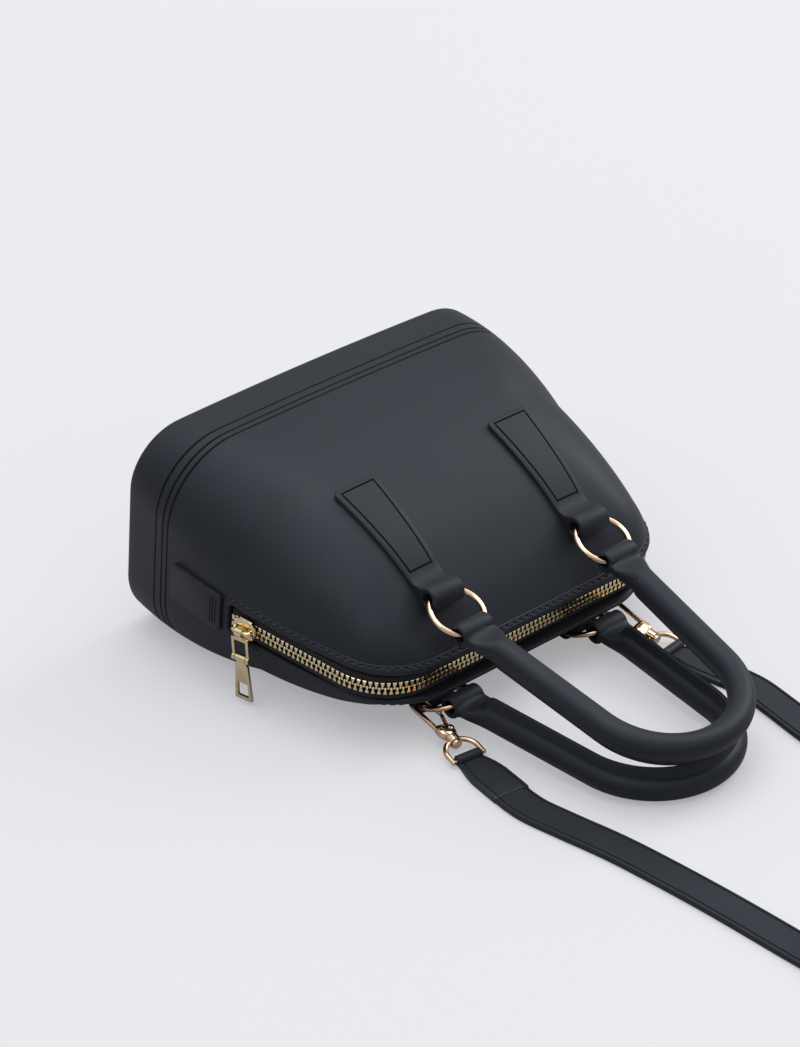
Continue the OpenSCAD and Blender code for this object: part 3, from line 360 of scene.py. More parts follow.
@dataclass(frozen=True)
class LyingBag:
    """Shape of the moulded body and its lying pose, in millimetres.

    The bag's own coordinates are across, depth with the front positive, and height
    from its base towards its lips.
    """

    base_w: float = 207.0
    top_w: float = 163.2
    base_d: float = 101.3
    top_d: float = 27.6
    height: float = 164.4
    base_corner: float = 25.6
    top_corner: float = 78.5
    dome_r: float = 33.4
    side_bow: float = 9.4
    panel_bow: float = 20.1
    crown: float = 2.4
    lip_run: float = 44.0
    lip_half: float = 9.3
    lean_run: float = 20.0
    mouth_back: float = 4.0
    mouth_half: float = 8.0
    mouth_start: float = 76.0
    mouth_low: float = 74.7
    tilt: float = 7.77
    rise: float = 54.1
    base_y: float = 33.0
    rest_end: float = 70.0
    tab_start: float = 88.5
    tab_level: float = 3.5

    @property
    def turn(self) -> Matrix:
        """Turn from the bag's own axes to the frame's."""
        return Matrix.Rotation(math.radians(90 + self.tilt), 3, "X")

    def place(self, x: float, q: float, h: float) -> Vector:
        """Returns a bag point as a point of the frame in metres."""
        return (Vector((0, self.base_y, self.rise)) + self.turn @ Vector((x, q, h))) * MM

    def point(self, x: float, q: float, h: float) -> Vector:
        """Returns a body surface point in metres, lifted to where the back is pressed flat."""
        spot = self.place(x, q, h)
        floor = self.rest_height(spot.y / MM) * MM
        soft = 0.0006
        gap = spot.z - floor
        spot.z = floor + (gap + math.sqrt(gap * gap + 4 * soft * soft)) / 2
        if gap > 12 * soft:
            spot.z = floor + gap
        return spot

    def rest_height(self, y: float) -> float:
        """Returns the lowest height of the back at a distance along the floor."""
        near = self.base_y - self.rest_end * math.cos(math.radians(self.tilt)) + 6.2
        far = self.base_y - self.tab_start * math.cos(math.radians(self.tilt)) + 5.4
        share = min(1.0, max(0.0, (near - y) / (near - far)))
        return 0.02 + self.tab_level * share

    def side_x(self, h: float) -> float:
        """Returns the half width of the side line at a height."""
        t = h / self.height
        return self.base_w / 2 + (self.top_w - self.base_w) / 2 * t + 4 * self.side_bow * t * (1 - t)

    def side_slope(self, h: float) -> float:
        """Returns how fast the side line moves out with height."""
        t = h / self.height
        return ((self.top_w - self.base_w) / 2 + 4 * self.side_bow * (1 - 2 * t)) / self.height

    @property
    def dome_h(self) -> float:
        """Height of the dome corners' centres."""
        return self.height - self.dome_r

    @property
    def dome_lean(self) -> float:
        """Lean of the side line where it meets a dome corner, in radians."""
        return math.atan(-self.side_slope(self.dome_h))

    @property
    def dome_x(self) -> float:
        """Distance of the dome corners' centres from the middle."""
        return self.side_x(self.dome_h) - self.dome_r / math.cos(self.dome_lean)

    @property
    def dome_start(self) -> float:
        """Height where the dome corners start."""
        return self.dome_h + self.dome_r * math.sin(self.dome_lean)

    def half_w(self, h: float) -> float:
        """Returns the half width of the outline at a height."""
        if h > self.dome_start:
            return self.dome_x + math.sqrt(max(0.0, self.dome_r**2 - (h - self.dome_h) ** 2))
        return self.side_x(h)

    def half_d(self, h: float) -> float:
        """Returns the half depth of the outline at a height."""
        t = h / self.height
        full = self.base_d / 2 + (self.top_d - self.base_d) / 2 * t + 4 * self.panel_bow * t * (1 - t)
        lip_share = self.lip_half / (self.top_d / 2)
        u = max(0.0, (h - self.height + self.lip_run) / self.lip_run)
        return full * math.sqrt(1 - (1 - lip_share**2) * u * u)

    def lean(self, h: float) -> float:
        """Returns how far the middle of the outline leans back at a height."""
        u = max(0.0, (h - self.height + self.lean_run) / self.lean_run)
        return -self.mouth_back * u * u

    def front(self, x: float, h: float) -> float:
        """Returns the depth of the front panel at a place."""
        bow = self.crown * (1 - 0.6 * h / self.height) * (1 - (x / self.half_w(h)) ** 2)
        return self.half_d(h) + self.lean(h) + bow

    def outline_x(self, q: float, h: float, shrink: float = 0.0) -> float:
        """Returns the half width of the outline at a depth and a height."""
        a, b, r = self.corner(h, shrink)
        over = abs(q - self.lean(h)) - (b - r)
        if over <= 0:
            return a
        return a - r + math.sqrt(max(0.0, r * r - over * over))

    def corner(self, h: float, shrink: float) -> tuple[float, float, float]:
        """Returns the half width, half depth and corner radius of the outline."""
        a, b = self.half_w(h) - shrink, self.half_d(h) - shrink
        r = self.base_corner + (self.top_corner - self.base_corner) * h / self.height
        return a, b, min(r, 0.96 * a, 0.96 * b)

    def arc(self, h: float, q_end: float, panel: Panel, count: int, shrink: float = 0.0) -> list[tuple[float, float]]:
        """Returns points of one panel's outline, evenly spaced from the right end to the left.

        Args:
            h: Height of the outline.
            q_end: Depth of the outline's two ends.
            panel: The panel that the points run over.
            count: Number of points.
            shrink: Distance of the outline inside the full one.

        Returns:
            Pairs of place across and depth.
        """
        a, b, r = self.corner(h, shrink)
        sign = panel.value
        lean = self.lean(h)
        reach = sign * (q_end - lean)
        quarter: list[tuple[float, float]] = []
        if reach < b - r:
            quarter.append((a, reach))
            start = 0.0
        else:
            start = math.asin(min(1.0, (reach - (b - r)) / r))
        for k in range(25):
            g = start + (math.pi / 2 - start) * k / 24
            quarter.append((a - r + r * math.cos(g), b - r + r * math.sin(g)))
        quarter.append((0.0, b))
        lengths = [0.0]
        for (x0, y0), (x1, y1) in zip(quarter, quarter[1:]):
            lengths.append(lengths[-1] + math.hypot(x1 - x0, y1 - y0))
        half: list[tuple[float, float]] = []
        middle = (count - 1) / 2
        for k in range(int(middle) + 1):
            s = lengths[-1] * k / middle
            i = min(max(0, sum(1 for v in lengths if v <= s) - 1), len(quarter) - 2)
            f = (s - lengths[i]) / max(1e-9, lengths[i + 1] - lengths[i])
            half.append(tuple(u + (v - u) * min(1.0, f) for u, v in zip(quarter[i], quarter[i + 1])))
        points = half + [(-x, y) for x, y in reversed(half[:-1])]
        result = []
        for x, y in points:
            bow = 0.0
            if panel is Panel.FRONT:
                bow = self.crown * (1 - 0.6 * h / self.height) * (1 - (x / a) ** 2) * max(0.0, y / b)
            result.append((x, sign * y + lean + bow))
        return result


@dataclass(frozen=True)
class ZipPath:
    """Path of the zip chain round the mouth, in the bag's own millimetres."""

    bag: LyingBag
    side_inset: float = 1.0
    top_inset: float = 4.0
    radius: float = 30.0

    @property
    def start_x(self) -> float:
        """Distance of the chain's ends from the middle."""
        return self.bag.side_x(self.bag.mouth_start) - self.side_inset

    @property
    def lean(self) -> float:
        """Lean of the straight runs in radians."""
        high = self.bag.side_x(self.bag.dome_h) - self.side_inset
        return math.atan((self.start_x - high) / (self.bag.dome_h - self.bag.mouth_start))

    @property
    def arc_h(self) -> float:
        """Height of the bends' centres."""
        return self.bag.height - self.top_inset - self.radius

    @property
    def arc_x(self) -> float:
        """Distance of the bends' centres from the middle."""
        run = (self.arc_h - self.bag.mouth_start) * math.tan(self.lean)
        return self.start_x - run - self.radius / math.cos(self.lean)

    @property
    def run(self) -> float:
        """Length of a straight run up one end."""
        return (self.arc_h + self.radius * math.sin(self.lean) - self.bag.mouth_start) / math.cos(self.lean)

    @property
    def bend(self) -> float:
        """Length of one bend."""
        return self.radius * (math.pi / 2 - self.lean)

    @property
    def length(self) -> float:
        """Whole length of the chain."""
        return 2 * (self.run + self.bend + self.arc_x)

    def at(self, s: float) -> tuple[float, float, float]:
        """Returns the place across, the height and the heading at a length along the chain."""
        if s > self.length / 2:
            x, h, g = self.at(self.length - s)
            return -x, h, math.pi - g
        if s < self.run:
            return s * math.sin(self.lean) - self.start_x, self.bag.mouth_start + s * math.cos(self.lean), self.lean
        if s < self.run + self.bend:
            g = self.lean + (s - self.run) / self.radius
            return -self.arc_x - self.radius * math.cos(g), self.arc_h + self.radius * math.sin(g), g
        return s - self.length / 2, self.arc_h + self.radius, math.pi / 2

    def spot(self, s: float, depth: float, out: float) -> Vector:
        """Returns a frame point beside the chain in metres.

        Args:
            s: Length along the chain.
            depth: Distance to the front of the chain's middle.
            out: Distance outwards from the chain.

        Returns:
            The point.
        """
        x, h, g = self.at(s)
        return self.bag.place(x - out * math.cos(g), depth - self.bag.mouth_back, h + out * math.sin(g))

    def frame(self, s: float) -> Matrix:
        """Returns the local frame on the chain in metres: X front, Y outwards, Z along."""
        x, h, g = self.at(s)
        depth = self.bag.turn @ Vector((0, 1, 0))
        out = self.bag.turn @ Vector((-math.cos(g), 0, math.sin(g)))
        along = self.bag.turn @ Vector((math.sin(g), 0, math.cos(g)))
        spot = self.bag.place(x, -self.bag.mouth_back, h)
        return matrix_of(depth, out, along, spot)


def matrix_of(x: Vector, y: Vector, z: Vector, at: Vector) -> Matrix:
    """Returns the matrix of a frame with these axes and origin."""
    return Matrix(((x.x, y.x, z.x, at.x), (x.y, y.y, z.y, at.y), (x.z, y.z, z.z, at.z), (0, 0, 0, 1)))


class Workbench:
    """Makes, finishes and reports the pieces."""

    def __init__(self) -> None:
        """Starts with no piece made."""
        self.made: list[bpy.types.Object] = []

    def piece(
        self,
        name: str,
        mesh: bmesh.types.BMesh,
        material: bpy.types.Material,
        body: str,
        slot: str,
        replaces: Sequence[str] = (),
        smooth: float = 40.0,
        turn_out: bool = True,
    ) -> bpy.types.Object:
        """Makes an object from a mesh and places it on its body.

        Args:
            name: Name of the piece.
            mesh: Its mesh, in metres in the frame, which is freed.
            material: Its finish.
            body: The body that it rides on.
            slot: The record's material slot; not used.
            replaces: Nodes that it stands for.
            smooth: Angle in degrees above which an edge stays sharp.
            turn_out: Whether its faces are turned outwards first.

        Returns:
            The object.
        """
        bmesh.ops.remove_doubles(mesh, verts=mesh.verts, dist=0.000001)
        if turn_out:
            bmesh.ops.recalc_face_normals(mesh, faces=mesh.faces)
        limit = math.radians(smooth)
        for face in mesh.faces:
            face.smooth = True
        for edge in mesh.edges:
            edge.smooth = not (len(edge.link_faces) == 2 and edge.calc_face_angle(0.0) > limit)
        data = bpy.data.meshes.new(name)
        mesh.to_mesh(data)
        mesh.free()
        item = bpy.data.objects.new(name, data)
        bpy.context.scene.collection.objects.link(item)
        data.materials.append(material)
        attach(item, body)
        if replaces:
            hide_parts(*replaces)
        self.made.append(item)
        LOG.info("%s: %d faces", name, len(data.polygons))
        return item

    def modifier(self, item: bpy.types.Object, kind: str, **settings: object) -> None:
        """Adds a modifier with these settings to a piece."""
        added = item.modifiers.new(kind.title(), kind)
        for key, value in settings.items():
            setattr(added, key, value)


def loop_of(mesh: bmesh.types.BMesh, count: int) -> list[bmesh.types.BMVert]:
    """Returns the vertices of a new round loop."""
    return bmesh.ops.create_circle(mesh, cap_ends=False, radius=1.0, segments=count)["verts"]


def follow(
    mesh: bmesh.types.BMesh,
    rings: Sequence[Sequence[Vector]],
    closed: bool = False,
    caps: bool = True,
    layer: bmesh.types.BMLayerItem | None = None,
    lengths: Sequence[float] | None = None,
) -> list[list[bmesh.types.BMVert]]:
    """Extrudes a round loop through a row of rings.

    Args:
        mesh: The mesh to build in.
        rings: Rings of equally many points.
        closed: Whether the last ring joins the first.
        caps: Whether open ends are closed by a face.
        layer: UV layer to fill with place round and length along.
        lengths: Length along at each ring.

    Returns:
        The vertices of each ring.
    """
    count = len(rings[0])
    first = loop_of(mesh, count)
    for vert, spot in zip(first, rings[0]):
        vert.co = spot
    rows = [first]
    edges = list({edge for vert in first for edge in vert.link_edges})
    for ring in rings[1:]:
        result = bmesh.ops.extrude_edge_only(mesh, edges=edges)["geom"]
        new = [g for g in result if isinstance(g, bmesh.types.BMVert)]
        partner: dict[bmesh.types.BMVert, bmesh.types.BMVert] = {}
        for vert in new:
            for edge in vert.link_edges:
                other = edge.other_vert(vert)
                if other not in new:
                    partner[other] = vert
        row = [partner[vert] for vert in rows[-1]]
        for vert, spot in zip(row, ring):
            vert.co = spot
        rows.append(row)
        edges = [g for g in result if isinstance(g, bmesh.types.BMEdge)]
    if layer is not None and lengths is not None:
        where = {vert: (j, i) for i, row in enumerate(rows) for j, vert in enumerate(row)}
        for face in mesh.faces:
            if not all(vert in where for vert in (c.vert for c in face.loops)):
                continue
            across = [where[c.vert][0] for c in face.loops]
            wraps = max(across) - min(across) > 1
            for corner, j in zip(face.loops, across):
                u = j + count if wraps and j == 0 else j
                corner[layer].uv = (u / count, lengths[where[corner.vert][1]])
    if closed:
        bmesh.ops.bridge_loops(mesh, edges=[*edges, *ring_edges(rows[0])])
    elif caps:
        bmesh.ops.contextual_create(mesh, geom=rows[0])
        bmesh.ops.contextual_create(mesh, geom=rows[-1])
    return rows


def ring_edges(row: Sequence[bmesh.types.BMVert]) -> list[bmesh.types.BMEdge]:
    """Returns the edges that join a row of vertices in a loop."""
    members = set(row)
    return list({e for v in row for e in v.link_edges if e.other_vert(v) in members})


def bar_between(mesh: bmesh.types.BMesh, ends: tuple[Vector, Vector], radius: float, sides: int = 12) -> None:
    """Adds a round bar from one point to another, in metres."""
    a, b = ends
    turn = (b - a).to_track_quat("Z", "Y").to_matrix().to_4x4()
    bmesh.ops.create_cone(
        mesh,
        cap_ends=True,
        segments=sides,
        radius1=radius,
        radius2=radius,
        depth=(b - a).length,
        matrix=Matrix.Translation((a + b) / 2) @ turn,
    )


def block(mesh: bmesh.types.BMesh, size: Sequence[float], at: Matrix, edge: float, rows: int = 2) -> None:
    """Adds a block with rounded edges.

    Args:
        mesh: The mesh to build in.
        size: Its three sides in metres.
        at: Its frame.
        edge: Width of its rounded edges in metres.
        rows: Segments of the rounding.
    """
    made = bmesh.ops.create_cube(mesh, size=1.0, matrix=at @ Matrix.Diagonal((*size, 1)))["verts"]
    edges = list({e for v in made for e in v.link_edges})
    bmesh.ops.bevel(mesh, geom=edges, offset=edge, segments=rows, profile=0.5, affect="EDGES", material=-1)


def plate(
    mesh: bmesh.types.BMesh,
    outline: Sequence[tuple[float, float]],
    lift: Callable[[float, float, float], Vector],
    low: float,
    high: float,
) -> list[bmesh.types.BMVert]:
    """Adds a flat plate of an outline between two levels of a curved place.

    Args:
        mesh: The mesh to build in.
        outline: Corners of the plate.
        lift: Turns an outline point and a level into a frame point.
        low: Level of its under side.
        high: Level of its upper side.

    Returns:
        The plate's vertices.
    """
    verts = [mesh.verts.new(lift(x, y, low)) for x, y in outline]
    face = mesh.faces.new(verts)
    raised = bmesh.ops.extrude_face_region(mesh, geom=[face])["geom"]
    tops = [g for g in raised if isinstance(g, bmesh.types.BMVert)]
    for vert in tops:
        near = min(range(len(verts)), key=lambda k: (verts[k].co - vert.co).length_squared)
        vert.co = lift(*outline[near], high)
    return verts + tops


# Sub-assemblies


@dataclass
class Studio:
    """Floor, lights and camera of a plain pale studio."""

    target: tuple[float, float, float] = (0.0, -0.0492, 0.0015)
    azimuth: float = -40.582
    elevation: float = 30.877
    roll: float = -1.557
    distance: float = 1.67127
    focal: float = 3579.4
    picture: tuple[float, float] = (800.0, 1047.0)
    aim: tuple[float, float] = (415.95, 613.02)
    centre: tuple[float, float] = (403.56, 526.70)
    low_sky: float = 0.12
    high_sky: float = 0.95

    def camera(self) -> None:
        """Creates the camera at the picture's angle."""
        a, e, r = (math.radians(v) for v in (self.azimuth, self.elevation, self.roll))
        back = Vector((math.sin(a) * math.cos(e), -math.cos(a) * math.cos(e), math.sin(e)))
        right = Vector((0, 0, 1)).cross(back).normalized()
        up = back.cross(right)
        side = right * math.cos(r) + up * math.sin(r)
        top = up * math.cos(r) - right * math.sin(r)
        off_x = (self.aim[0] - self.centre[0]) / self.focal * self.distance
        off_y = (self.aim[1] - self.centre[1]) / self.focal * self.distance
        spot = Vector(self.target) + back * self.distance - side * off_x + top * off_y
        data = bpy.data.cameras.new("camera")
        longest = max(self.picture)
        data.sensor_fit = "AUTO"
        data.sensor_width = 36.0
        data.lens = self.focal / longest * data.sensor_width
        data.shift_x = (self.picture[0] / 2 - self.centre[0]) / longest
        data.shift_y = (self.centre[1] - self.picture[1] / 2) / longest
        data.clip_start, data.clip_end = 0.05, 30
        item = bpy.data.objects.new("camera", data)
        bpy.context.scene.collection.objects.link(item)
        item.matrix_world = matrix_of(side, top, back, spot)
        bpy.context.scene.camera = item

    def floor(self) -> None:
        """Creates the floor sheet."""
        mesh = bmesh.new()
        bmesh.ops.create_grid(mesh, x_segments=2, y_segments=2, size=8.0)
        data = bpy.data.meshes.new("floor")
        mesh.to_mesh(data)
        mesh.free()
        item = bpy.data.objects.new("floor", data)
        bpy.context.scene.collection.objects.link(item)
        data.materials.append(StudioFloor().make())

    def lamp(self, name: str, spot: Sequence[float], size: tuple[float, float], watts: float, look: Sequence[float]) -> None:
        """Creates one soft area lamp that looks at a point."""
        data = bpy.data.lights.new(name, "AREA")
        data.shape = "RECTANGLE"
        data.size, data.size_y = size
        data.energy = watts
        item = bpy.data.objects.new(name, data)
        bpy.context.scene.collection.objects.link(item)
        item.location = spot
        item.rotation_euler = (Vector(look) - Vector(spot)).to_track_quat("-Z", "Y").to_euler()

    def world(self) -> None:
        """Creates the pale surroundings."""
        world = bpy.data.worlds.new("surroundings")
        bpy.context.scene.world = world
        world.use_nodes = True
        ground = world.node_tree.nodes["Background"]
        ground.inputs[0].default_value = (0.88, 0.91, 1.0, 1)
        nodes, links = world.node_tree.nodes, world.node_tree.links
        where = nodes.new("ShaderNodeTexCoord")
        parts = nodes.new("ShaderNodeSeparateXYZ")
        share = nodes.new("ShaderNodeMapRange")
        share.inputs[1].default_value, share.inputs[2].default_value = 0.0, 0.9
        share.inputs[3].default_value, share.inputs[4].default_value = self.low_sky, self.high_sky
        links.new(where.outputs["Generated"], parts.inputs[0])
        links.new(parts.outputs[2], share.inputs[0])
        links.new(share.outputs[0], ground.inputs[1])

    def build(self) -> None:
        """Creates the whole studio."""
        self.camera()
        self.floor()
        self.world()
        middle = (0.0, -0.08, 0.03)
        self.lamp("key_lamp", (0.5, 0.7, 5.6), (3.6, 3.6), 80.0, middle)
        self.lamp("side_lamp", (4.0, -0.3, 2.5), (1.8, 3.0), 58.0, middle)
        self.lamp("fill_lamp", (-2.6, -0.6, 4.2), (2.4, 2.4), 20.0, middle)
        view = bpy.context.scene.view_settings
        view.view_transform = "Standard"


@dataclass
class MouldedBody:
    """The moulded shell with its base grooves and lips, and the two end tabs."""

    bag: LyingBag
    path: ZipPath
    bench: Workbench
    looks: Finishes
    around: int = 97
    end_parts: int = 6
    grooves: tuple[float, ...] = (23.8, 28.7, 32.3)
    groove_half: float = 0.62
    groove_depth: float = 0.85
    edge_r: float = 4.5
    lip_depth: float = 6.0
    wall: float = 0.6

    def levels(self) -> list[tuple[float, float]]:
        """Returns the heights of the shell's rings, each with its inset."""
        rows = [(self.edge_r * (1 - math.cos(math.radians(g))), self.edge_r * (1 - math.sin(math.radians(g)))) for g in range(0, 91, 15)]
        marks: list[tuple[float, float]] = []
        for h in self.grooves:
            w, d = self.groove_half, self.groove_depth
            marks += [(h - 2 * w, 0.0), (h - w, 0.0), (h - w / 2, d * 0.7), (h, d), (h + w / 2, d * 0.7), (h + w, 0.0), (h + 2 * w, 0.0)]
        plain = [8.0, 12.0, 16.0, 20.0] + [36.0 + 4.0 * k for k in range(10)] + [self.bag.mouth_low]
        plain += [self.bag.mouth_low + (self.bag.dome_start - self.bag.mouth_low) * k / 18 for k in range(1, 19)]
        low = math.asin((self.bag.dome_start - self.bag.dome_h) / self.bag.dome_r)
        for k in range(1, 19):
            plain.append(self.bag.dome_h + self.bag.dome_r * math.sin(low + (math.pi / 2 - low) * k / 18))
        rows += [(h, 0.0) for h in plain] + marks
        return sorted(rows)

    def ring(self, h: float, inset: float) -> list[Vector]:
        """Returns one ring: front panel, left end strip, back panel, right end strip."""
        bag = self.bag
        low, high = -bag.mouth_back - bag.mouth_half, bag.mouth_half - bag.mouth_back
        front = bag.arc(h, high, Panel.FRONT, self.around, inset)
        back = bag.arc(h, low, Panel.BACK, self.around, inset)
        strip = [high + (low - high) * k / self.end_parts for k in range(1, self.end_parts)]
        left = [(-bag.outline_x(q, h, inset), q) for q in strip]
        right = [(bag.outline_x(q, h, inset), q) for q in reversed(strip)]
        return [bag.point(x, q, h) for x, q in [*front, *left, *reversed(back), *right]]

    def shell(self) -> bpy.types.Object:
        """Builds the shell."""
        mesh = bmesh.new()
        levels = self.levels()
        rows = follow(mesh, [self.ring(h, i) for h, i in levels], caps=False)
        bmesh.ops.contextual_create(mesh, geom=rows[0])
        n = self.around
        left = range(n - 1, n + self.end_parts)
        right = [*range(2 * n + self.end_parts - 2, 2 * n + 2 * self.end_parts - 2), 0]
        start = next(k for k, (h, _) in enumerate(levels) if h >= self.bag.mouth_low - 1e-6)
        doomed = []
        for strip in (list(left), right):
            members = {rows[i][j] for i in range(start, len(rows)) for j in strip}
            doomed += [f for f in mesh.faces if all(v in members for v in f.verts)]
        bmesh.ops.delete(mesh, geom=doomed, context="FACES")
        loose = [v for v in mesh.verts if not v.link_faces]
        bmesh.ops.delete(mesh, geom=loose, context="VERTS")
        self.lips(mesh, rows, start)
        bmesh.ops.remove_doubles(mesh, verts=mesh.verts, dist=0.00001)
        bmesh.ops.recalc_face_normals(mesh, faces=mesh.faces)
        item = self.bench.piece(
            "moulded_body", mesh, self.looks.rubber, "bag", "moulded_rubber", ["body_shell"], smooth=50, turn_out=False
        )
        self.bench.modifier(item, "SOLIDIFY", thickness=self.wall * MM, offset=-1)
        return item

    def lips(self, mesh: bmesh.types.BMesh, rows: list[list[bmesh.types.BMVert]], start: int) -> None:
        """Turns both edges of the mouth in to the zip.

        Args:
            mesh: The shell's mesh.
            rows: Its rings.
            start: Number of the ring where the mouth starts.
        """
        bag = self.bag
        n = self.around
        top = bag.height
        ranges = {Panel.FRONT: (0, n), Panel.BACK: (n + self.end_parts - 1, 2 * n + self.end_parts - 1)}
        for panel, (first, last) in ranges.items():
            side_a = [rows[i][first] for i in range(start, len(rows))]
            crest = rows[-1][first:last]
            side_b = [rows[i][last - 1] for i in range(len(rows) - 1, start - 1, -1)]
            line = side_a + list(crest[1:-1]) + side_b
            edge_q = -bag.mouth_back + panel.value * bag.mouth_half
            self.turn_in(mesh, line, edge_q, top)
        for strip in (range(n - 1, n + self.end_parts), [*range(2 * n + self.end_parts - 2, 2 * n + 2 * self.end_parts - 2), 0]):
            line = [rows[start][j] for j in strip]
            self.turn_down(mesh, line)

    def chain_out(self, x: float, h: float) -> tuple[float, float]:
        """Returns the outward direction from the chain's path at a place, across and up."""
        path = self.path
        if abs(x) < path.arc_x and h > path.arc_h:
            return 0.0, 1.0
        if h > path.arc_h:
            dx, dh = abs(x) - path.arc_x, h - path.arc_h
            size = max(1e-6, math.hypot(dx, dh))
            return math.copysign(dx / size, x), dh / size
        return math.copysign(math.cos(path.lean), x), math.sin(path.lean)

    def turn_in(self, mesh: bmesh.types.BMesh, line: list[bmesh.types.BMVert], edge_q: float, top: float) -> None:
        """Extrudes one mouth edge over its land and down towards the tape."""
        bag = self.bag
        inverse = bag.turn.inverted()
        origin = Vector((0, bag.base_y, bag.rise))
        current = line
        for drop, inner in ((0.15, 0.7), (0.6, 1.0), (2.0, 1.0), (self.lip_depth, 1.0)):
            members = set(current)
            edges = [e for v in current for e in v.link_edges if e.other_vert(v) in members and len(e.link_faces) == 1]
            result = bmesh.ops.extrude_edge_only(mesh, edges=list(set(edges)))["geom"]
            new = [g for g in result if isinstance(g, bmesh.types.BMVert)]
            partner = {}
            for vert in new:
                for edge in vert.link_edges:
                    other = edge.other_vert(vert)
                    if other in members:
                        partner[other] = vert
            following = []
            for vert, base in zip(current, line):
                child = partner.get(vert)
                if child is None:
                    continue
                own = inverse @ (base.co / MM - origin)
                ox, oh = self.chain_out(own.x, own.z)
                q = own.y + (edge_q - own.y) * inner
                child.co = bag.place(own.x - ox * drop, q, own.z - oh * drop)
                following.append(child)
            current = following

    def turn_down(self, mesh: bmesh.types.BMesh, line: list[bmesh.types.BMVert]) -> None:
        """Extrudes the short edge at one end of the mouth inwards."""
        members = set(line)
        edges = [e for v in line for e in v.link_edges if e.other_vert(v) in members and len(e.link_faces) == 1]
        result = bmesh.ops.extrude_edge_only(mesh, edges=list(set(edges)))["geom"]
        for vert in (g for g in result if isinstance(g, bmesh.types.BMVert)):
            vert.co.x -= math.copysign(self.lip_depth * MM, vert.co.x)

    def end_tab(self, side: Side) -> None:
        """Builds one end tab with its border and plain ribs."""
        bag = self.bag
        mid_h, length, width, thick, corner = 54.5, 33.0, 20.0, 1.7, 2.5
        lean = math.atan(-bag.side_slope(mid_h))

        def lift(u: float, v: float, level: float) -> Vector:
            """Returns the frame point of a tab place."""
            h = mid_h + v * math.cos(lean) + level * math.sin(lean)
            x = bag.side_x(mid_h) + 0.1 - v * math.sin(lean) + level * math.cos(lean)
            return bag.place(side.value * x, u - bag.mouth_back, h)

        mesh = bmesh.new()
        outline = rounded(width, length, corner, 6)
        base = plate(mesh, outline, lift, -0.6, thick)
        ridge = 1.6
        for k in range(3):
            v = length / 2 - 3.0 - (k + 0.5) * ridge
            strip = [(-width / 2 + 3, v), (width / 2 - 3, v), (width / 2 - 3, v + ridge / 2), (-width / 2 + 3, v + ridge / 2)]
            plate(mesh, strip, lift, thick - 0.2, thick + 0.4)
        edges = [e for e in mesh.edges if e.calc_face_angle(0.0) > 1.0]
        bmesh.ops.bevel(mesh, geom=edges, offset=0.18 * MM, segments=2, profile=0.5, affect="EDGES", material=-1)
        LOG.debug("end tab corners %d", len(base))
        name = side.name.lower()
        self.bench.piece(f"end_label_{name}", mesh, self.looks.rubber, "bag", "moulded_rubber", [f"end_tab_{name}"], smooth=35)

    def build(self) -> None:
        """Builds the body with its end tabs."""
        self.shell()
        for side in Side:
            self.end_tab(side)


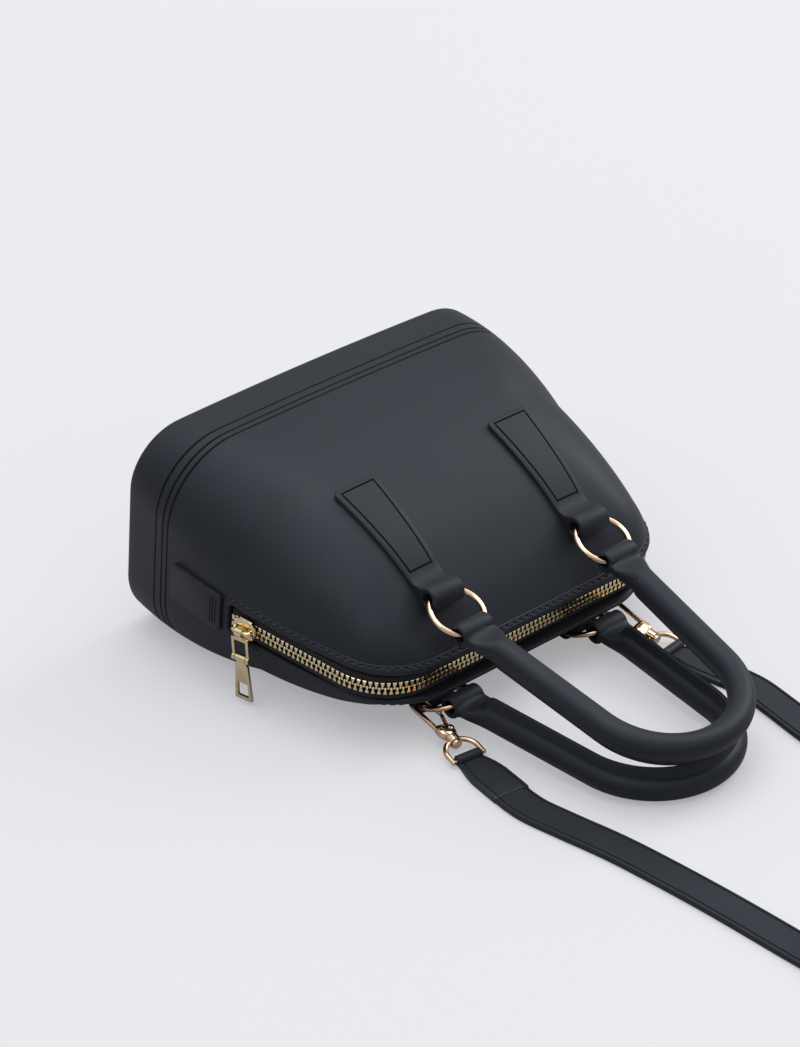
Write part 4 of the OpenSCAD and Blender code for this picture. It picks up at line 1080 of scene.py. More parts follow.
@dataclass
class MouthLips:
    """The rounded lip round the whole mouth, with its groove and stitches."""

    bag: LyingBag
    path: ZipPath
    bench: Workbench
    looks: Finishes
    corner: float = 2.4
    step: float = 2.0
    seam: float = 3.05
    pitch: float = 4.0
    stitch: float = 2.9
    thread: float = 0.55

    def loop(self) -> list[tuple[float, float, float, float]]:
        """Returns the mouth's edge as length along, depth, and outward direction of both."""
        length, half, r = self.path.length, self.bag.mouth_half, self.corner
        reach = length / 2 + self.bag.mouth_start - self.bag.mouth_low - r
        points: list[tuple[float, float, float, float]] = []
        count = int(2 * reach / self.step)
        for k, (sx, sy) in enumerate(((1, 1), (-1, 1), (-1, -1), (1, -1))):
            cx = length / 2 + sx * reach
            cy = sy * (half - r)
            for i in range(7):
                g = math.pi / 2 * (k + i / 6)
                dx, dy = math.cos(g), math.sin(g)
                points.append((cx + r * dx, cy + r * dy, dx, dy))
            parts = count if k in (0, 2) else 6
            a, b = points[-1], None
            nx, ny = ((-1, 1), (-1, -1), (1, -1), (1, 1))[k]
            bx = length / 2 + nx * reach + (0 if k in (0, 2) else r * nx)
            by = ny * (half - r) + (r * ny if k in (0, 2) else 0)
            b = (bx, by)
            for i in range(1, parts):
                points.append((a[0] + (b[0] - a[0]) * i / parts, a[1] + (b[1] - a[1]) * i / parts, a[2], a[3]))
        return points

    def inside(self, x: float, q: float, h: float) -> bool:
        """Returns whether a bag point lies inside the moulded outline."""
        bag = self.bag
        if h >= bag.height or abs(x) > bag.half_w(h):
            return False
        deep = bag.front(x, h) >= q if q > bag.lean(h) else bag.half_d(h) - bag.lean(h) >= -q
        return deep and abs(x) <= bag.outline_x(q, h)

    def on_surface(self, s: float, v: float) -> Vector:
        """Returns the surface point outward of the chain at a length and a depth, in metres."""
        length = self.path.length
        inner = min(max(s, 0.0), length)
        x, h, g = self.path.at(inner)
        beyond = abs(s - inner)
        h -= beyond * math.cos(self.path.lean)
        x += math.copysign(beyond * math.sin(self.path.lean), x)
        ox, oh = -math.cos(g), math.sin(g)
        q = v - self.bag.mouth_back
        low, high = -16.0, 12.0
        for _ in range(20):
            middle = (low + high) / 2
            if self.inside(x + ox * middle, q, h + oh * middle):
                low = middle
            else:
                high = middle
        return self.bag.point(x + ox * low, q, h + oh * low)

    def sheet(self, offsets: Sequence[float]) -> tuple[list[list[Vector]], list[list[Vector]]]:
        """Returns surface points and outward directions at offsets round the mouth.

        Args:
            offsets: Distances outward from the mouth's edge, falling.

        Returns:
            Points and unit directions, one row for each place round the mouth.
        """
        loop = self.loop()
        rows = [[self.on_surface(s + ds * o, v + dv * o) for o in offsets] for s, v, ds, dv in loop]
        middle = self.bag.place(0, -self.bag.mouth_back, self.bag.height * 0.6)
        outs: list[list[Vector]] = []
        count = len(rows)
        for i, row in enumerate(rows):
            line: list[Vector] = []
            for j in range(len(row)):
                along = rows[(i + 1) % count][j] - rows[i - 1][j]
                across = row[min(j + 1, len(row) - 1)] - row[max(j - 1, 0)]
                out = along.cross(across).normalized()
                line.append(out if out.dot(row[j] - middle) > 0 else -out)
            outs.append(line)
        return rows, outs

    def band(self) -> None:
        """Builds the lip as one closed band round the mouth."""
        section = [(4.5, -0.3), (4.2, 0.15), (3.8, 0.42), (3.45, 0.34), (3.25, 0.05), (2.9, 0.05), (2.7, 0.5), (2.35, 0.82)]
        section += [(1.6, 0.98), (0.8, 0.94), (0.25, 0.62), (-0.15, 0.0), (-0.25, -1.0), (-0.25, -3.0)]
        under = [(0.7, -2.6), (0.9, -1.2), (3.2, -0.9)]
        rows, outs = self.sheet([o for o, _ in section])
        lows, low_outs = self.sheet([0.7, 0.9, 3.2])
        rings = []
        for row, out, low, low_out in zip(rows, outs, lows, low_outs):
            ring = [p + n * (e * MM) for p, n, (_, e) in zip(row, out, section)]
            ring += [p + n * (e * MM) for p, n, (_, e) in zip(low, low_out, under)]
            rings.append(ring)
        mesh = bmesh.new()
        follow(mesh, rings, closed=True)
        self.bench.piece("mouth_lip", mesh, self.looks.rubber, "bag", "moulded_rubber", smooth=70)

    def stitches(self) -> None:
        """Builds the stitches in the lip's groove."""
        rows, outs = self.sheet([self.seam + 0.2, self.seam, self.seam - 0.2])
        line = [(row[1], out[1]) for row, out in zip(rows, outs)]
        line.append(line[0])
        lengths = [0.0]
        for (a, _), (b, _) in zip(line, line[1:]):
            lengths.append(lengths[-1] + (b - a).length / MM)

        def along(s: float, lift: float) -> Vector:
            """Returns the groove's point at a length and a height above it."""
            i = min(max(0, sum(1 for v in lengths if v <= s) - 1), len(line) - 2)
            f = (s - lengths[i]) / max(1e-9, lengths[i + 1] - lengths[i])
            return line[i][0].lerp(line[i + 1][0], f) + line[i][1].lerp(line[i + 1][1], f) * (lift * MM)

        mesh = bmesh.new()
        count = int(lengths[-1] / self.pitch)
        pitch = lengths[-1] / count
        r = self.thread
        for k in range(count):
            s = (k + 0.5) * pitch
            spots = [along(s + self.stitch * t, lift) for t, lift in ((-0.5, -0.15), (-0.36, r * 0.75), (0.36, r * 0.75), (0.5, -0.15))]
            run = (spots[-1] - spots[0]).normalized()
            out = (spots[1] - spots[0]).normalized()
            side = run.cross(out).normalized()
            top = side.cross(run).normalized()
            rings = []
            for spot in spots:
                rings.append([spot + (side * math.cos(g) + top * math.sin(g)) * (r * MM) for g in (2 * math.pi * i / 6 for i in range(6))])
            follow(mesh, rings)
        self.bench.piece("mouth_stitches", mesh, self.looks.thread, "bag", "moulded_rubber", smooth=80)

    def build(self) -> None:
        """Builds the lip and its stitches."""
        self.band()
        self.stitches()


def rounded(width: float, height: float, radius: float, steps: int) -> list[tuple[float, float]]:
    """Returns the outline of a rounded rectangle about its middle."""
    points = []
    for k, (sx, sy) in enumerate(((1, 1), (-1, 1), (-1, -1), (1, -1))):
        for i in range(steps + 1):
            g = math.pi / 2 * (k + i / steps)
            points.append((sx * (width / 2 - radius) + radius * math.cos(g), sy * (height / 2 - radius) + radius * math.sin(g)))
    return points


def roll_profile(half: float, inner: float, outer: float) -> list[tuple[float, float]]:
    """Returns the section of a rolled loop with softly rounded edges.

    Args:
        half: Half of its width in millimetres.
        inner: Radius of its bore.
        outer: Its outer radius.

    Returns:
        Places across with their radii.
    """
    inner -= 0.3
    middle = (inner + outer) / 2
    thick = (outer - inner) / 2
    left = [(-half + 0.9 - 0.9 * math.sin(g), middle - thick * math.cos(g)) for g in (math.pi * k / 8 for k in range(9))]
    return left + [(-x, r) for x, r in reversed(left)]


@dataclass
class HandleTabs:
    """The four moulded tabs that hold the rings."""

    bag: LyingBag
    bench: Workbench
    looks: Finishes
    ring_x: float = 44.3
    wide_x: float = 46.0
    start: float = 88.5
    narrow: float = 140.5
    panel_end: float = 134.5
    wide: float = 24.5
    strip: float = 17.5
    thick: float = 1.5
    seat: float = 0.25
    loop_h: float = 149.0
    loop_in: float = 3.65
    loop_out: float = 5.15
    loop_q: float = 28.865

    def seat_q(self, panel: Panel, x: float, h: float) -> float:
        """Returns the depth of the panel's surface under a tab, as a positive number."""
        bag = self.bag
        if panel is Panel.FRONT:
            return bag.front(x, h)
        tilt = math.radians(bag.tilt)
        level = (bag.rise - h * math.sin(tilt) - bag.tab_level) / math.cos(tilt)
        return min(bag.half_d(h) - bag.lean(h), level)

    def half_width(self, h: float, margin: float) -> tuple[float, float]:
        """Returns the middle and half width of a tab at a height."""
        t = min(1.0, max(0.0, (h - self.start) / (self.narrow - self.start)))
        return self.wide_x + (self.ring_x - self.wide_x) * t, (self.wide + (self.strip - self.wide) * t) / 2 - margin

    def edge_level(self, margin: float) -> float:
        """Returns the height of the rounded rim at a distance inside a tab's edge."""
        marks = ((0.0, 1.4), (0.15, 1.85), (0.5, 2.12), (1.1, 2.25), (2.0, 2.3), (99.0, 2.3))
        for (m0, z0), (m1, z1) in zip(marks, marks[1:]):
            if margin <= m1:
                return z0 + (z1 - z0) * (margin - m0) / (m1 - m0)
        return marks[-1][1]

    def saddle(self, panel: Panel, h: float) -> float:
        """Returns how far the strip rises above its seat on its way to the roll."""
        x = self.ring_x
        first, last = self.panel_end + 1.2, self.loop_h - 3.0
        if h <= first:
            return 0.0
        r = self.outer(panel)
        q0 = self.seat_q(panel, x, first) + self.edge_level(9.0)
        m0 = self.seat_q(panel, x, first + 0.5) - self.seat_q(panel, x, first - 0.5)
        rise = math.sqrt(r * r - (self.loop_h - last) ** 2)
        q1, m1 = self.loop_q + rise, (self.loop_h - last) / rise
        w = last - first
        t = min(1.0, (h - first) / w)
        q = (2 * t**3 - 3 * t**2 + 1) * q0 + (t**3 - 2 * t**2 + t) * w * m0
        q += (3 * t**2 - 2 * t**3) * q1 + (t**3 - t**2) * w * m1
        return q - self.seat_q(panel, x, h) - self.edge_level(9.0)

    def outer(self, panel: Panel) -> float:
        """Returns the outer radius of a tab's roll."""
        return self.loop_out + (0.6 if panel is Panel.FRONT else 0.05)

    def skin(self, mesh: bmesh.types.BMesh, panel: Panel, side: Side) -> None:
        """Adds a tab's plate with its rim, groove, raised panel and rising strip."""
        fine = [0.0, 0.15, 0.5, 1.1, 2.0, 2.4, 2.55, 3.1, 3.3, 4.1]
        far = self.panel_end + 2.85
        heights = [self.start + g for g in fine]
        rows = 15
        for k in range(1, rows):
            heights.append(self.start + 4.1 + (self.panel_end - 1.4 - self.start - 4.1) * k / rows)
        heights += [far - g for g in reversed(fine[5:])]
        last = self.loop_h - 3.0
        heights += [self.panel_end + 1.2 + (last - self.panel_end - 1.2) * k / 10 for k in range(11)]
        rings: list[list[Vector]] = []
        low = -0.3 if panel is Panel.FRONT else 0.02
        corner = 3.0
        for h in heights:
            mid, half = self.half_width(h, 0.0)
            gap = h - self.start
            if gap < corner:
                half -= corner - math.sqrt(max(0.0, corner**2 - (corner - gap) ** 2))
            places = [(-half + m, m) for m in fine] + [((half - 4.1) * u, half - abs((half - 4.1) * u)) for u in (-0.5, 0.0, 0.5)]
            places += [(half - m, m) for m in reversed(fine)]
            rise = self.saddle(panel, h)
            tops: list[Vector] = []
            bottoms: list[Vector] = []
            for off, margin in places:
                within = min(margin, gap, far - h)
                level = self.edge_level(min(margin, gap))
                if 2.5 <= within <= 3.15:
                    level = 1.4
                elif within > 3.2:
                    level = 2.42 + 0.12 * min(1.0, (within - 3.2) / 3)
                seat = self.seat_q(panel, mid + off, h)
                tops.append(self.bag.place(side.value * (mid + off), panel.value * (seat + level + rise), h))
                bottoms.append(self.bag.place(side.value * (mid + off), panel.value * (seat + low), h))
            rings.append(tops + bottoms[::-1])
        follow(mesh, rings)

    def build_one(self, panel: Panel, side: Side) -> None:
        """Builds one tab with its raised panel, groove and rolled loop."""
        name = f"tab_{panel.name.lower()}_{side.name.lower()}"
        mesh = bmesh.new()
        self.skin(mesh, panel, side)
        self.roll(mesh, panel, side)
        self.bench.piece(name + "_skin", mesh, self.looks.rubber, "bag", "moulded_rubber", [name], smooth=44)

    def roll(self, mesh: bmesh.types.BMesh, panel: Panel, side: Side) -> None:
        """Adds the rolled loop at a tab's end."""
        centre = self.bag.place(side.value * self.ring_x, panel.value * self.loop_q, self.loop_h)
        up = self.bag.turn @ Vector((0, 1, 0))
        along = self.bag.turn @ Vector((0, 0, 1))
        rings = []
        for k in range(48):
            g = 2 * math.pi * k / 48
            out = up * math.cos(g) + along * math.sin(g)
            rings.append([centre + Vector((x * MM, 0, 0)) + out * (r * MM) for x, r in roll_profile(self.strip / 2, self.loop_in, self.outer(panel))])
        follow(mesh, rings, closed=True)

    def build(self) -> None:
        """Builds the four tabs."""
        for panel in Panel:
            for side in Side:
                self.build_one(panel, side)


@dataclass
class Handle:
    """One tubular handle with two looped flat ends and a seam ridge."""

    bench: Workbench
    looks: Finishes
    name: str
    axis: tuple[float, float]
    dip: float
    ridge_up: bool
    ring_x: float = 44.3
    drop: float = 109.0
    bend_r: float = 37.0
    grip: float = 12.5
    ridge_h: float = 3.8
    ridge_t: float = 2.6
    tab_w: float = 17.5
    tab_l: float = 14.0
    loop_in: float = 3.65
    loop_out: float = 5.15

    @property
    def place(self) -> Matrix:
        """Frame of the handle in metres, its loops' axis along X and its drop along -Y."""
        at = Matrix.Translation((0, self.axis[0] * MM, self.axis[1] * MM))
        return at @ Matrix.Rotation(math.radians(self.dip), 4, "X")

    def spine(self) -> list[tuple[Vector, Vector]]:
        """Returns the middle line with its sideways directions, in millimetres."""
        bend_y = self.drop - self.bend_r
        far = math.hypot(self.ring_x, bend_y)
        lean = math.acos(self.bend_r / far) - math.atan(bend_y / self.ring_x)
        leg = math.sqrt(far**2 - self.bend_r**2)
        down = Vector((-math.sin(lean), -math.cos(lean), 0))
        side = Vector((math.cos(lean), -math.sin(lean), 0))
        start = Vector((self.ring_x, 0, 0))
        line = [(start + down * s, side.copy()) for s in self.leg_steps(leg)]
        steps = 44
        for k in range(1, steps):
            g = -lean - (math.pi - 2 * lean) * k / steps
            out = Vector((math.cos(g), math.sin(g), 0))
            line.append((Vector((0, -bend_y, 0)) + out * self.bend_r, out))
        for spot, out in reversed(line[: len(self.leg_steps(leg))]):
            line.append((Vector((-spot.x, spot.y, 0)), Vector((-out.x, out.y, 0))))
        return line

    def leg_steps(self, leg: float) -> list[float]:
        """Returns the lengths along a leg where the section is drawn."""
        flat = [3.9, 4.5, 5.2, 6.0, 7.2, 8.6, 10.0, 11.5, 13.0, 14.5, 16.5, 19.0, 22.0]
        return flat + [22.0 + (leg - 22.0) * k / 12 for k in range(1, 13)]

    def section(self, s: float, leg_share: float) -> list[tuple[float, float]]:
        """Returns the grip's section, blended from the flat tab to the tube with its ridge.

        Args:
            s: Length from the loops' axis in millimetres.
            leg_share: How far the tube is formed, from 0 to 1.

        Returns:
            Pairs of place sideways and upwards.
        """
        t = leg_share
        half_w = self.tab_w / 2 * (1 - t) + self.grip / 2 * t
        hood = max(0.0, 1 - (s - 3.9) / 2.6) ** 2 * 1.3
        half_t = 2.55 * (1 - t) + self.grip / 2 * t + hood
        power = 0.45 * (1 - t) + 1.0 * t
        count = 48
        points = []
        for k in range(count):
            g = 2 * math.pi * k / count
            c, d = math.cos(g), math.sin(g)
            x = math.copysign(abs(c) ** power, c) * half_w
            z = math.copysign(abs(d) ** power, d) * half_t
            sign = 1 if self.ridge_up else -1
            if z * sign > 0 and abs(x) < self.ridge_t / 2 + 0.9:
                rise = self.ridge_h * t * min(1.0, max(0.0, (self.ridge_t / 2 + 0.9 - abs(x)) / 0.9))
                groove = 0.55 * math.exp(-((abs(x) - 0.0) / 0.28) ** 2) * t
                z += sign * (rise - groove)
            points.append((x, z))
        return points

    def build(self) -> None:
        """Builds the handle's cover with its loops."""
        mesh = bmesh.new()
        line = self.spine()
        n = len(line)
        leg_n = len(self.leg_steps(76.0))
        rings = []
        for k, (spot, out) in enumerate(line):
            near = min(k, n - 1 - k)
            s = self.leg_steps(76.0)[near] if near < leg_n else 80.0
            t = min(1.0, max(0.0, (s - 7.0) / 11.0))
            t = t * t * (3 - 2 * t)
            ring = [spot + out * x + Vector((0, 0, z)) for x, z in self.section(s, t)]
            rings.append([self.place @ (p * MM) for p in ring])
        follow(mesh, rings)
        self.roll(mesh)
        name = self.name
        item = self.bench.piece(
            f"{name}_grip", mesh, self.looks.rubber, f"{name.replace('handle_', '')}_handle", "moulded_rubber", [f"{name}_cover"], smooth=42
        )
        LOG.debug("handle %s", item.name)

    def roll(self, mesh: bmesh.types.BMesh) -> None:
        """Adds the two rolled loops."""
        profile = roll_profile(self.tab_w / 2, self.loop_in, self.loop_out + 0.2)
        for side in Side:
            rings = []
            for k in range(48):
                g = 2 * math.pi * k / 48
                ring = [Vector((side.value * self.ring_x + x, r * math.cos(g), r * math.sin(g))) for x, r in profile]
                rings.append([self.place @ (p * MM) for p in ring])
            follow(mesh, rings, closed=True)


@dataclass
class Zip:
    """The zip: tapes, moulded-metal teeth, slider and puller."""

    bag: LyingBag
    path: ZipPath
    bench: Workbench
    looks: Finishes
    pitch: float = 2.6
    chain: float = 6.4
    slider_s: float = 8.931

    def tape(self, panel: Panel) -> None:
        """Builds one tape as a thin woven strip with a corded edge."""
        sign = panel.value
        half, drop = (11.0, 5.2) if panel is Panel.FRONT else (9.6, 6.6)
        low = drop * 0.7
        top = [(2.7, 0.75), (3.3, 0.55), (4.0, 0.42), (5.8, 0.38), (8.0, -low), (half, -drop)]
        under = [(half, -drop - 0.7), (7.7, -low - 0.75), (5.6, -0.4), (3.3, -0.5), (2.7, -0.75)]
        section = [(sign * x, y) for x, y in top + under]
        count = 160
        length = self.path.length
        rings, lengths = [], []
        for k in range(count + 1):
            s = 0.55 + (length - 1.1) * k / count
            rings.append([self.path.spot(s, x, y) for x, y in section])
            lengths.append(s)
        mesh = bmesh.new()
        layer = mesh.loops.layers.uv.new("UVMap")
        follow(mesh, rings, layer=layer, lengths=lengths)
        name = f"zip_tape_{panel.name.lower()}"
        self.bench.piece(name + "_woven", mesh, self.looks.tape, "bag", "zip_cloth", [name], smooth=60)

    def teeth(self, panel: Panel) -> None:
        """Builds one row of teeth, each a clamped leg with a rounded head over the middle."""
        sign = panel.value
        count = 122
        start = 3.431
        shape = [(3.25, 0.86), (2.35, 0.88), (1.75, 0.62), (1.15, 0.4), (0.8, 0.42), (0.5, 0.6), (0.0, 0.62), (-0.35, 0.44), (-0.5, 0.2)]
        outline = shape + [(x, -z) for x, z in reversed(shape)]
        tooth = bmesh.new()
        levels = ((-1.05, 0.9), (-0.85, 1.0), (0.85, 1.0), (1.12, 0.86))
        rings = []
        for y, share in levels:
            rings.append([Vector((sign * ((x - 1.4) * share + 1.4), y, z * share)) * MM for x, z in outline])
        follow(tooth, rings)
        data = bpy.data.meshes.new("tooth")
        tooth.to_mesh(data)
        tooth.free()
        mesh = bmesh.new()
        for k in range(count):
            s = start + (k + (0 if sign > 0 else 0.5)) * self.pitch
            before = len(mesh.verts)
            mesh.from_mesh(data)
            mesh.verts.ensure_lookup_table()
            bmesh.ops.transform(mesh, matrix=self.path.frame(s), verts=mesh.verts[before:])
        bpy.data.meshes.remove(data)
        name = f"zip_teeth_{panel.name.lower()}"
        self.bench.piece(name + "_metal", mesh, self.looks.pale, "bag", "pale_gold", [name], smooth=30)

    def slider(self) -> None:
        """Builds the slider with its rounded nose, cheeks and crown."""
        at = self.path.frame(self.slider_s)
        mesh = bmesh.new()
        half, wide = 6.1, 5.0
        outline = []
        for k in range(28):
            g = 2 * math.pi * k / 28
            c, d = math.cos(g), math.sin(g)
            outline.append((math.copysign(abs(c) ** 0.6, c) * wide, math.copysign(abs(d) ** 0.72, d) * half))
        for level, thick in ((1.8, 1.2), (-3.0, 1.2)):

            def lift(x: float, z: float, y: float) -> Vector:
                """Returns the frame point of a slider place."""
                return at @ (Vector((x, y, z)) * MM)

            plate(mesh, outline, lift, level, level + thick)
        for edge in (-1, 1):
            for level in (-1, 1):
                cheek = at @ Matrix.Translation((edge * 4.6 * MM, level * 1.7 * MM, 0.4 * MM))
                block(mesh, (1.2 * MM, 1.4 * MM, 7.0 * MM), cheek, 0.1 * MM, 1)
        edges = [e for e in mesh.edges if e.calc_face_angle(0.0) > 0.9]
        bmesh.ops.bevel(mesh, geom=edges, offset=0.3 * MM, segments=2, profile=0.5, affect="EDGES", material=-1)
        self.bench.piece("slider_shell", mesh, self.looks.pale, "slider", "pale_gold", ["slider_body"], smooth=35)
        self.crown()

    def crown(self) -> None:
        """Builds the crown as one bent bar over the slider."""
        at = self.bar_frame()
        mesh = bmesh.new()
        path = [(-2.6, -4.6), (-1.6, -4.9), (-0.55, -4.4), (0.0, -3.3), (0.0, -1.5), (0.0, 0.0), (0.0, 1.5), (0.0, 3.3), (-0.55, 4.4), (-1.6, 4.9), (-2.6, 4.6)]
        rings = []
        for k, (y, z) in enumerate(path):
            a, b = path[max(0, k - 1)], path[min(len(path) - 1, k + 1)]
            run = Vector((0, b[0] - a[0], b[1] - a[1])).normalized()
            side = Vector((1, 0, 0))
            out = run.cross(side)
            thin = 1.05 if 2 <= k <= 8 else 1.3
            ring = []
            for i in range(16):
                g = 2 * math.pi * i / 16
                ring.append(at @ ((Vector((0, y, z)) + side * (thin * math.cos(g)) + out * (1.02 * math.sin(g))) * MM))
            rings.append(ring)
        follow(mesh, rings)
        self.bench.piece("slider_bridge", mesh, self.looks.pale, "slider", "pale_gold", ["slider_crown"], smooth=50)

    def bar_frame(self) -> Matrix:
        """Returns the level frame on the crown's bar: -X down the puller, Y outwards."""
        turn = Matrix.Rotation(math.radians(self.bag.tilt * math.cos(self.path.lean)), 4, "Y")
        return self.path.frame(self.slider_s) @ Matrix.Translation((0, 5.9 * MM, 0)) @ turn

    def puller(self) -> None:
        """Builds the link and the windowed pull plate."""
        at = self.bar_frame()
        mesh = bmesh.new()

        def bead(x: float, width: float, outer: float, inner: float) -> None:
            """Adds one eye about the bar's direction."""
            profile = [(-width / 2, inner), (-width / 2, outer - 0.25), (-width / 2 + 0.25, outer), (width / 2 - 0.25, outer), (width / 2, outer - 0.25), (width / 2, inner)]
            rings = []
            for k in range(24):
                g = 2 * math.pi * k / 24
                rings.append([at @ (Vector((x + r * math.cos(g), r * math.sin(g), z)) * MM) for z, r in profile])
            follow(mesh, rings, closed=True)

        bead(0.0, 4.0, 2.2, 1.18)
        block(mesh, (1.9 * MM, 1.7 * MM, 3.9 * MM), at @ Matrix.Translation((-2.7 * MM, 0, 0)), 0.3 * MM)
        block(mesh, (1.7 * MM, 1.7 * MM, 9.5 * MM), at @ Matrix.Translation((-3.75 * MM, 0, 0)), 0.4 * MM)
        for side in (-1, 1):
            arm = at @ Matrix.Translation((-8.7 * MM, 0, side * 4.0 * MM))
            block(mesh, (10.6 * MM, 1.6 * MM, 1.55 * MM), arm, 0.35 * MM)
        for side in (-1, 1):
            z = side * 4.0
            profile = [(z - 0.8, 0.78), (z - 0.8, 1.6), (z - 0.55, 1.87), (z + 0.55, 1.87), (z + 0.8, 1.6), (z + 0.8, 0.78)]
            rings = []
            for k in range(24):
                g = 2 * math.pi * k / 24
                rings.append([at @ (Vector((-14 + r * math.cos(g), r * math.sin(g), w)) * MM) for w, r in profile])
            follow(mesh, rings, closed=True)
        self.bench.piece("puller_bail", mesh, self.looks.pale, "puller_link", "pale_gold", ["puller_link"], smooth=35)
        self.plate(at)

    def plate(self, at: Matrix) -> None:
        """Builds the pull plate with its flared outline, rim and window."""
        mesh = bmesh.new()
        eye = [(-2.9, 0.9), (-2.9, 1.6), (-2.65, 1.86), (2.65, 1.86), (2.9, 1.6), (2.9, 0.9)]
        rings = []
        for k in range(24):
            g = 2 * math.pi * k / 24
            rings.append([at @ (Vector((-14 + r * math.cos(g), r * math.sin(g), z)) * MM) for z, r in eye])
        follow(mesh, rings, closed=True)
        outer = [(-15.6, 2.7), (-16.9, 2.8), (-17.6, 3.5), (-28.0, 4.25), (-35.6, 4.8), (-36.0, 4.6), (-36.0, -4.6), (-35.6, -4.8), (-28.0, -4.25), (-17.6, -3.5), (-16.9, -2.8), (-15.6, -2.7)]
        inner = [(-27.3, 2.9), (-27.0, 2.6), (-27.0, 0.0), (-27.0, -2.6), (-27.3, -2.9), (-30.0, -3.0), (-34.0, -3.1), (-34.3, -2.8), (-34.3, 0.0), (-34.3, 2.8), (-34.0, 3.1), (-30.0, 3.0)]
        inner = [inner[k] for k in (0, 11, 10, 9, 8, 7, 6, 5, 4, 3, 2, 1)]
        loops = []
        for outline in (outer, inner):
            verts = [mesh.verts.new(at @ (Vector((x, -0.75, z)) * MM)) for x, z in outline]
            loops.append([mesh.edges.new((verts[k], verts[(k + 1) % len(verts)])) for k in range(len(verts))])
        made = bmesh.ops.triangle_fill(mesh, use_beauty=True, edges=[*loops[0], *loops[1]])["geom"]
        faces = [g for g in made if isinstance(g, bmesh.types.BMFace)]
        raised = bmesh.ops.extrude_face_region(mesh, geom=faces)["geom"]
        lift = (at.to_3x3() @ Vector((0, 1, 0))).normalized() * (1.5 * MM)
        bmesh.ops.translate(mesh, verts=[g for g in raised if isinstance(g, bmesh.types.BMVert)], vec=lift)
        bmesh.ops.dissolve_limit(mesh, angle_limit=0.01, verts=mesh.verts, edges=mesh.edges)
        bmesh.ops.recalc_face_normals(mesh, faces=mesh.faces)
        edges = [e for e in mesh.edges if len(e.link_faces) == 2 and e.calc_face_angle(0.0) > 1.2]
        bmesh.ops.bevel(mesh, geom=edges, offset=0.18 * MM, segments=2, profile=0.5, affect="EDGES", material=-1)
        self.bench.piece("pull_tag", mesh, self.looks.pale, "pull_plate", "pale_gold", ["pull_plate"], smooth=35)

    def build(self) -> None:
        """Builds the whole zip."""
        for panel in Panel:
            self.tape(panel)
            self.teeth(panel)
        self.slider()
        self.puller()


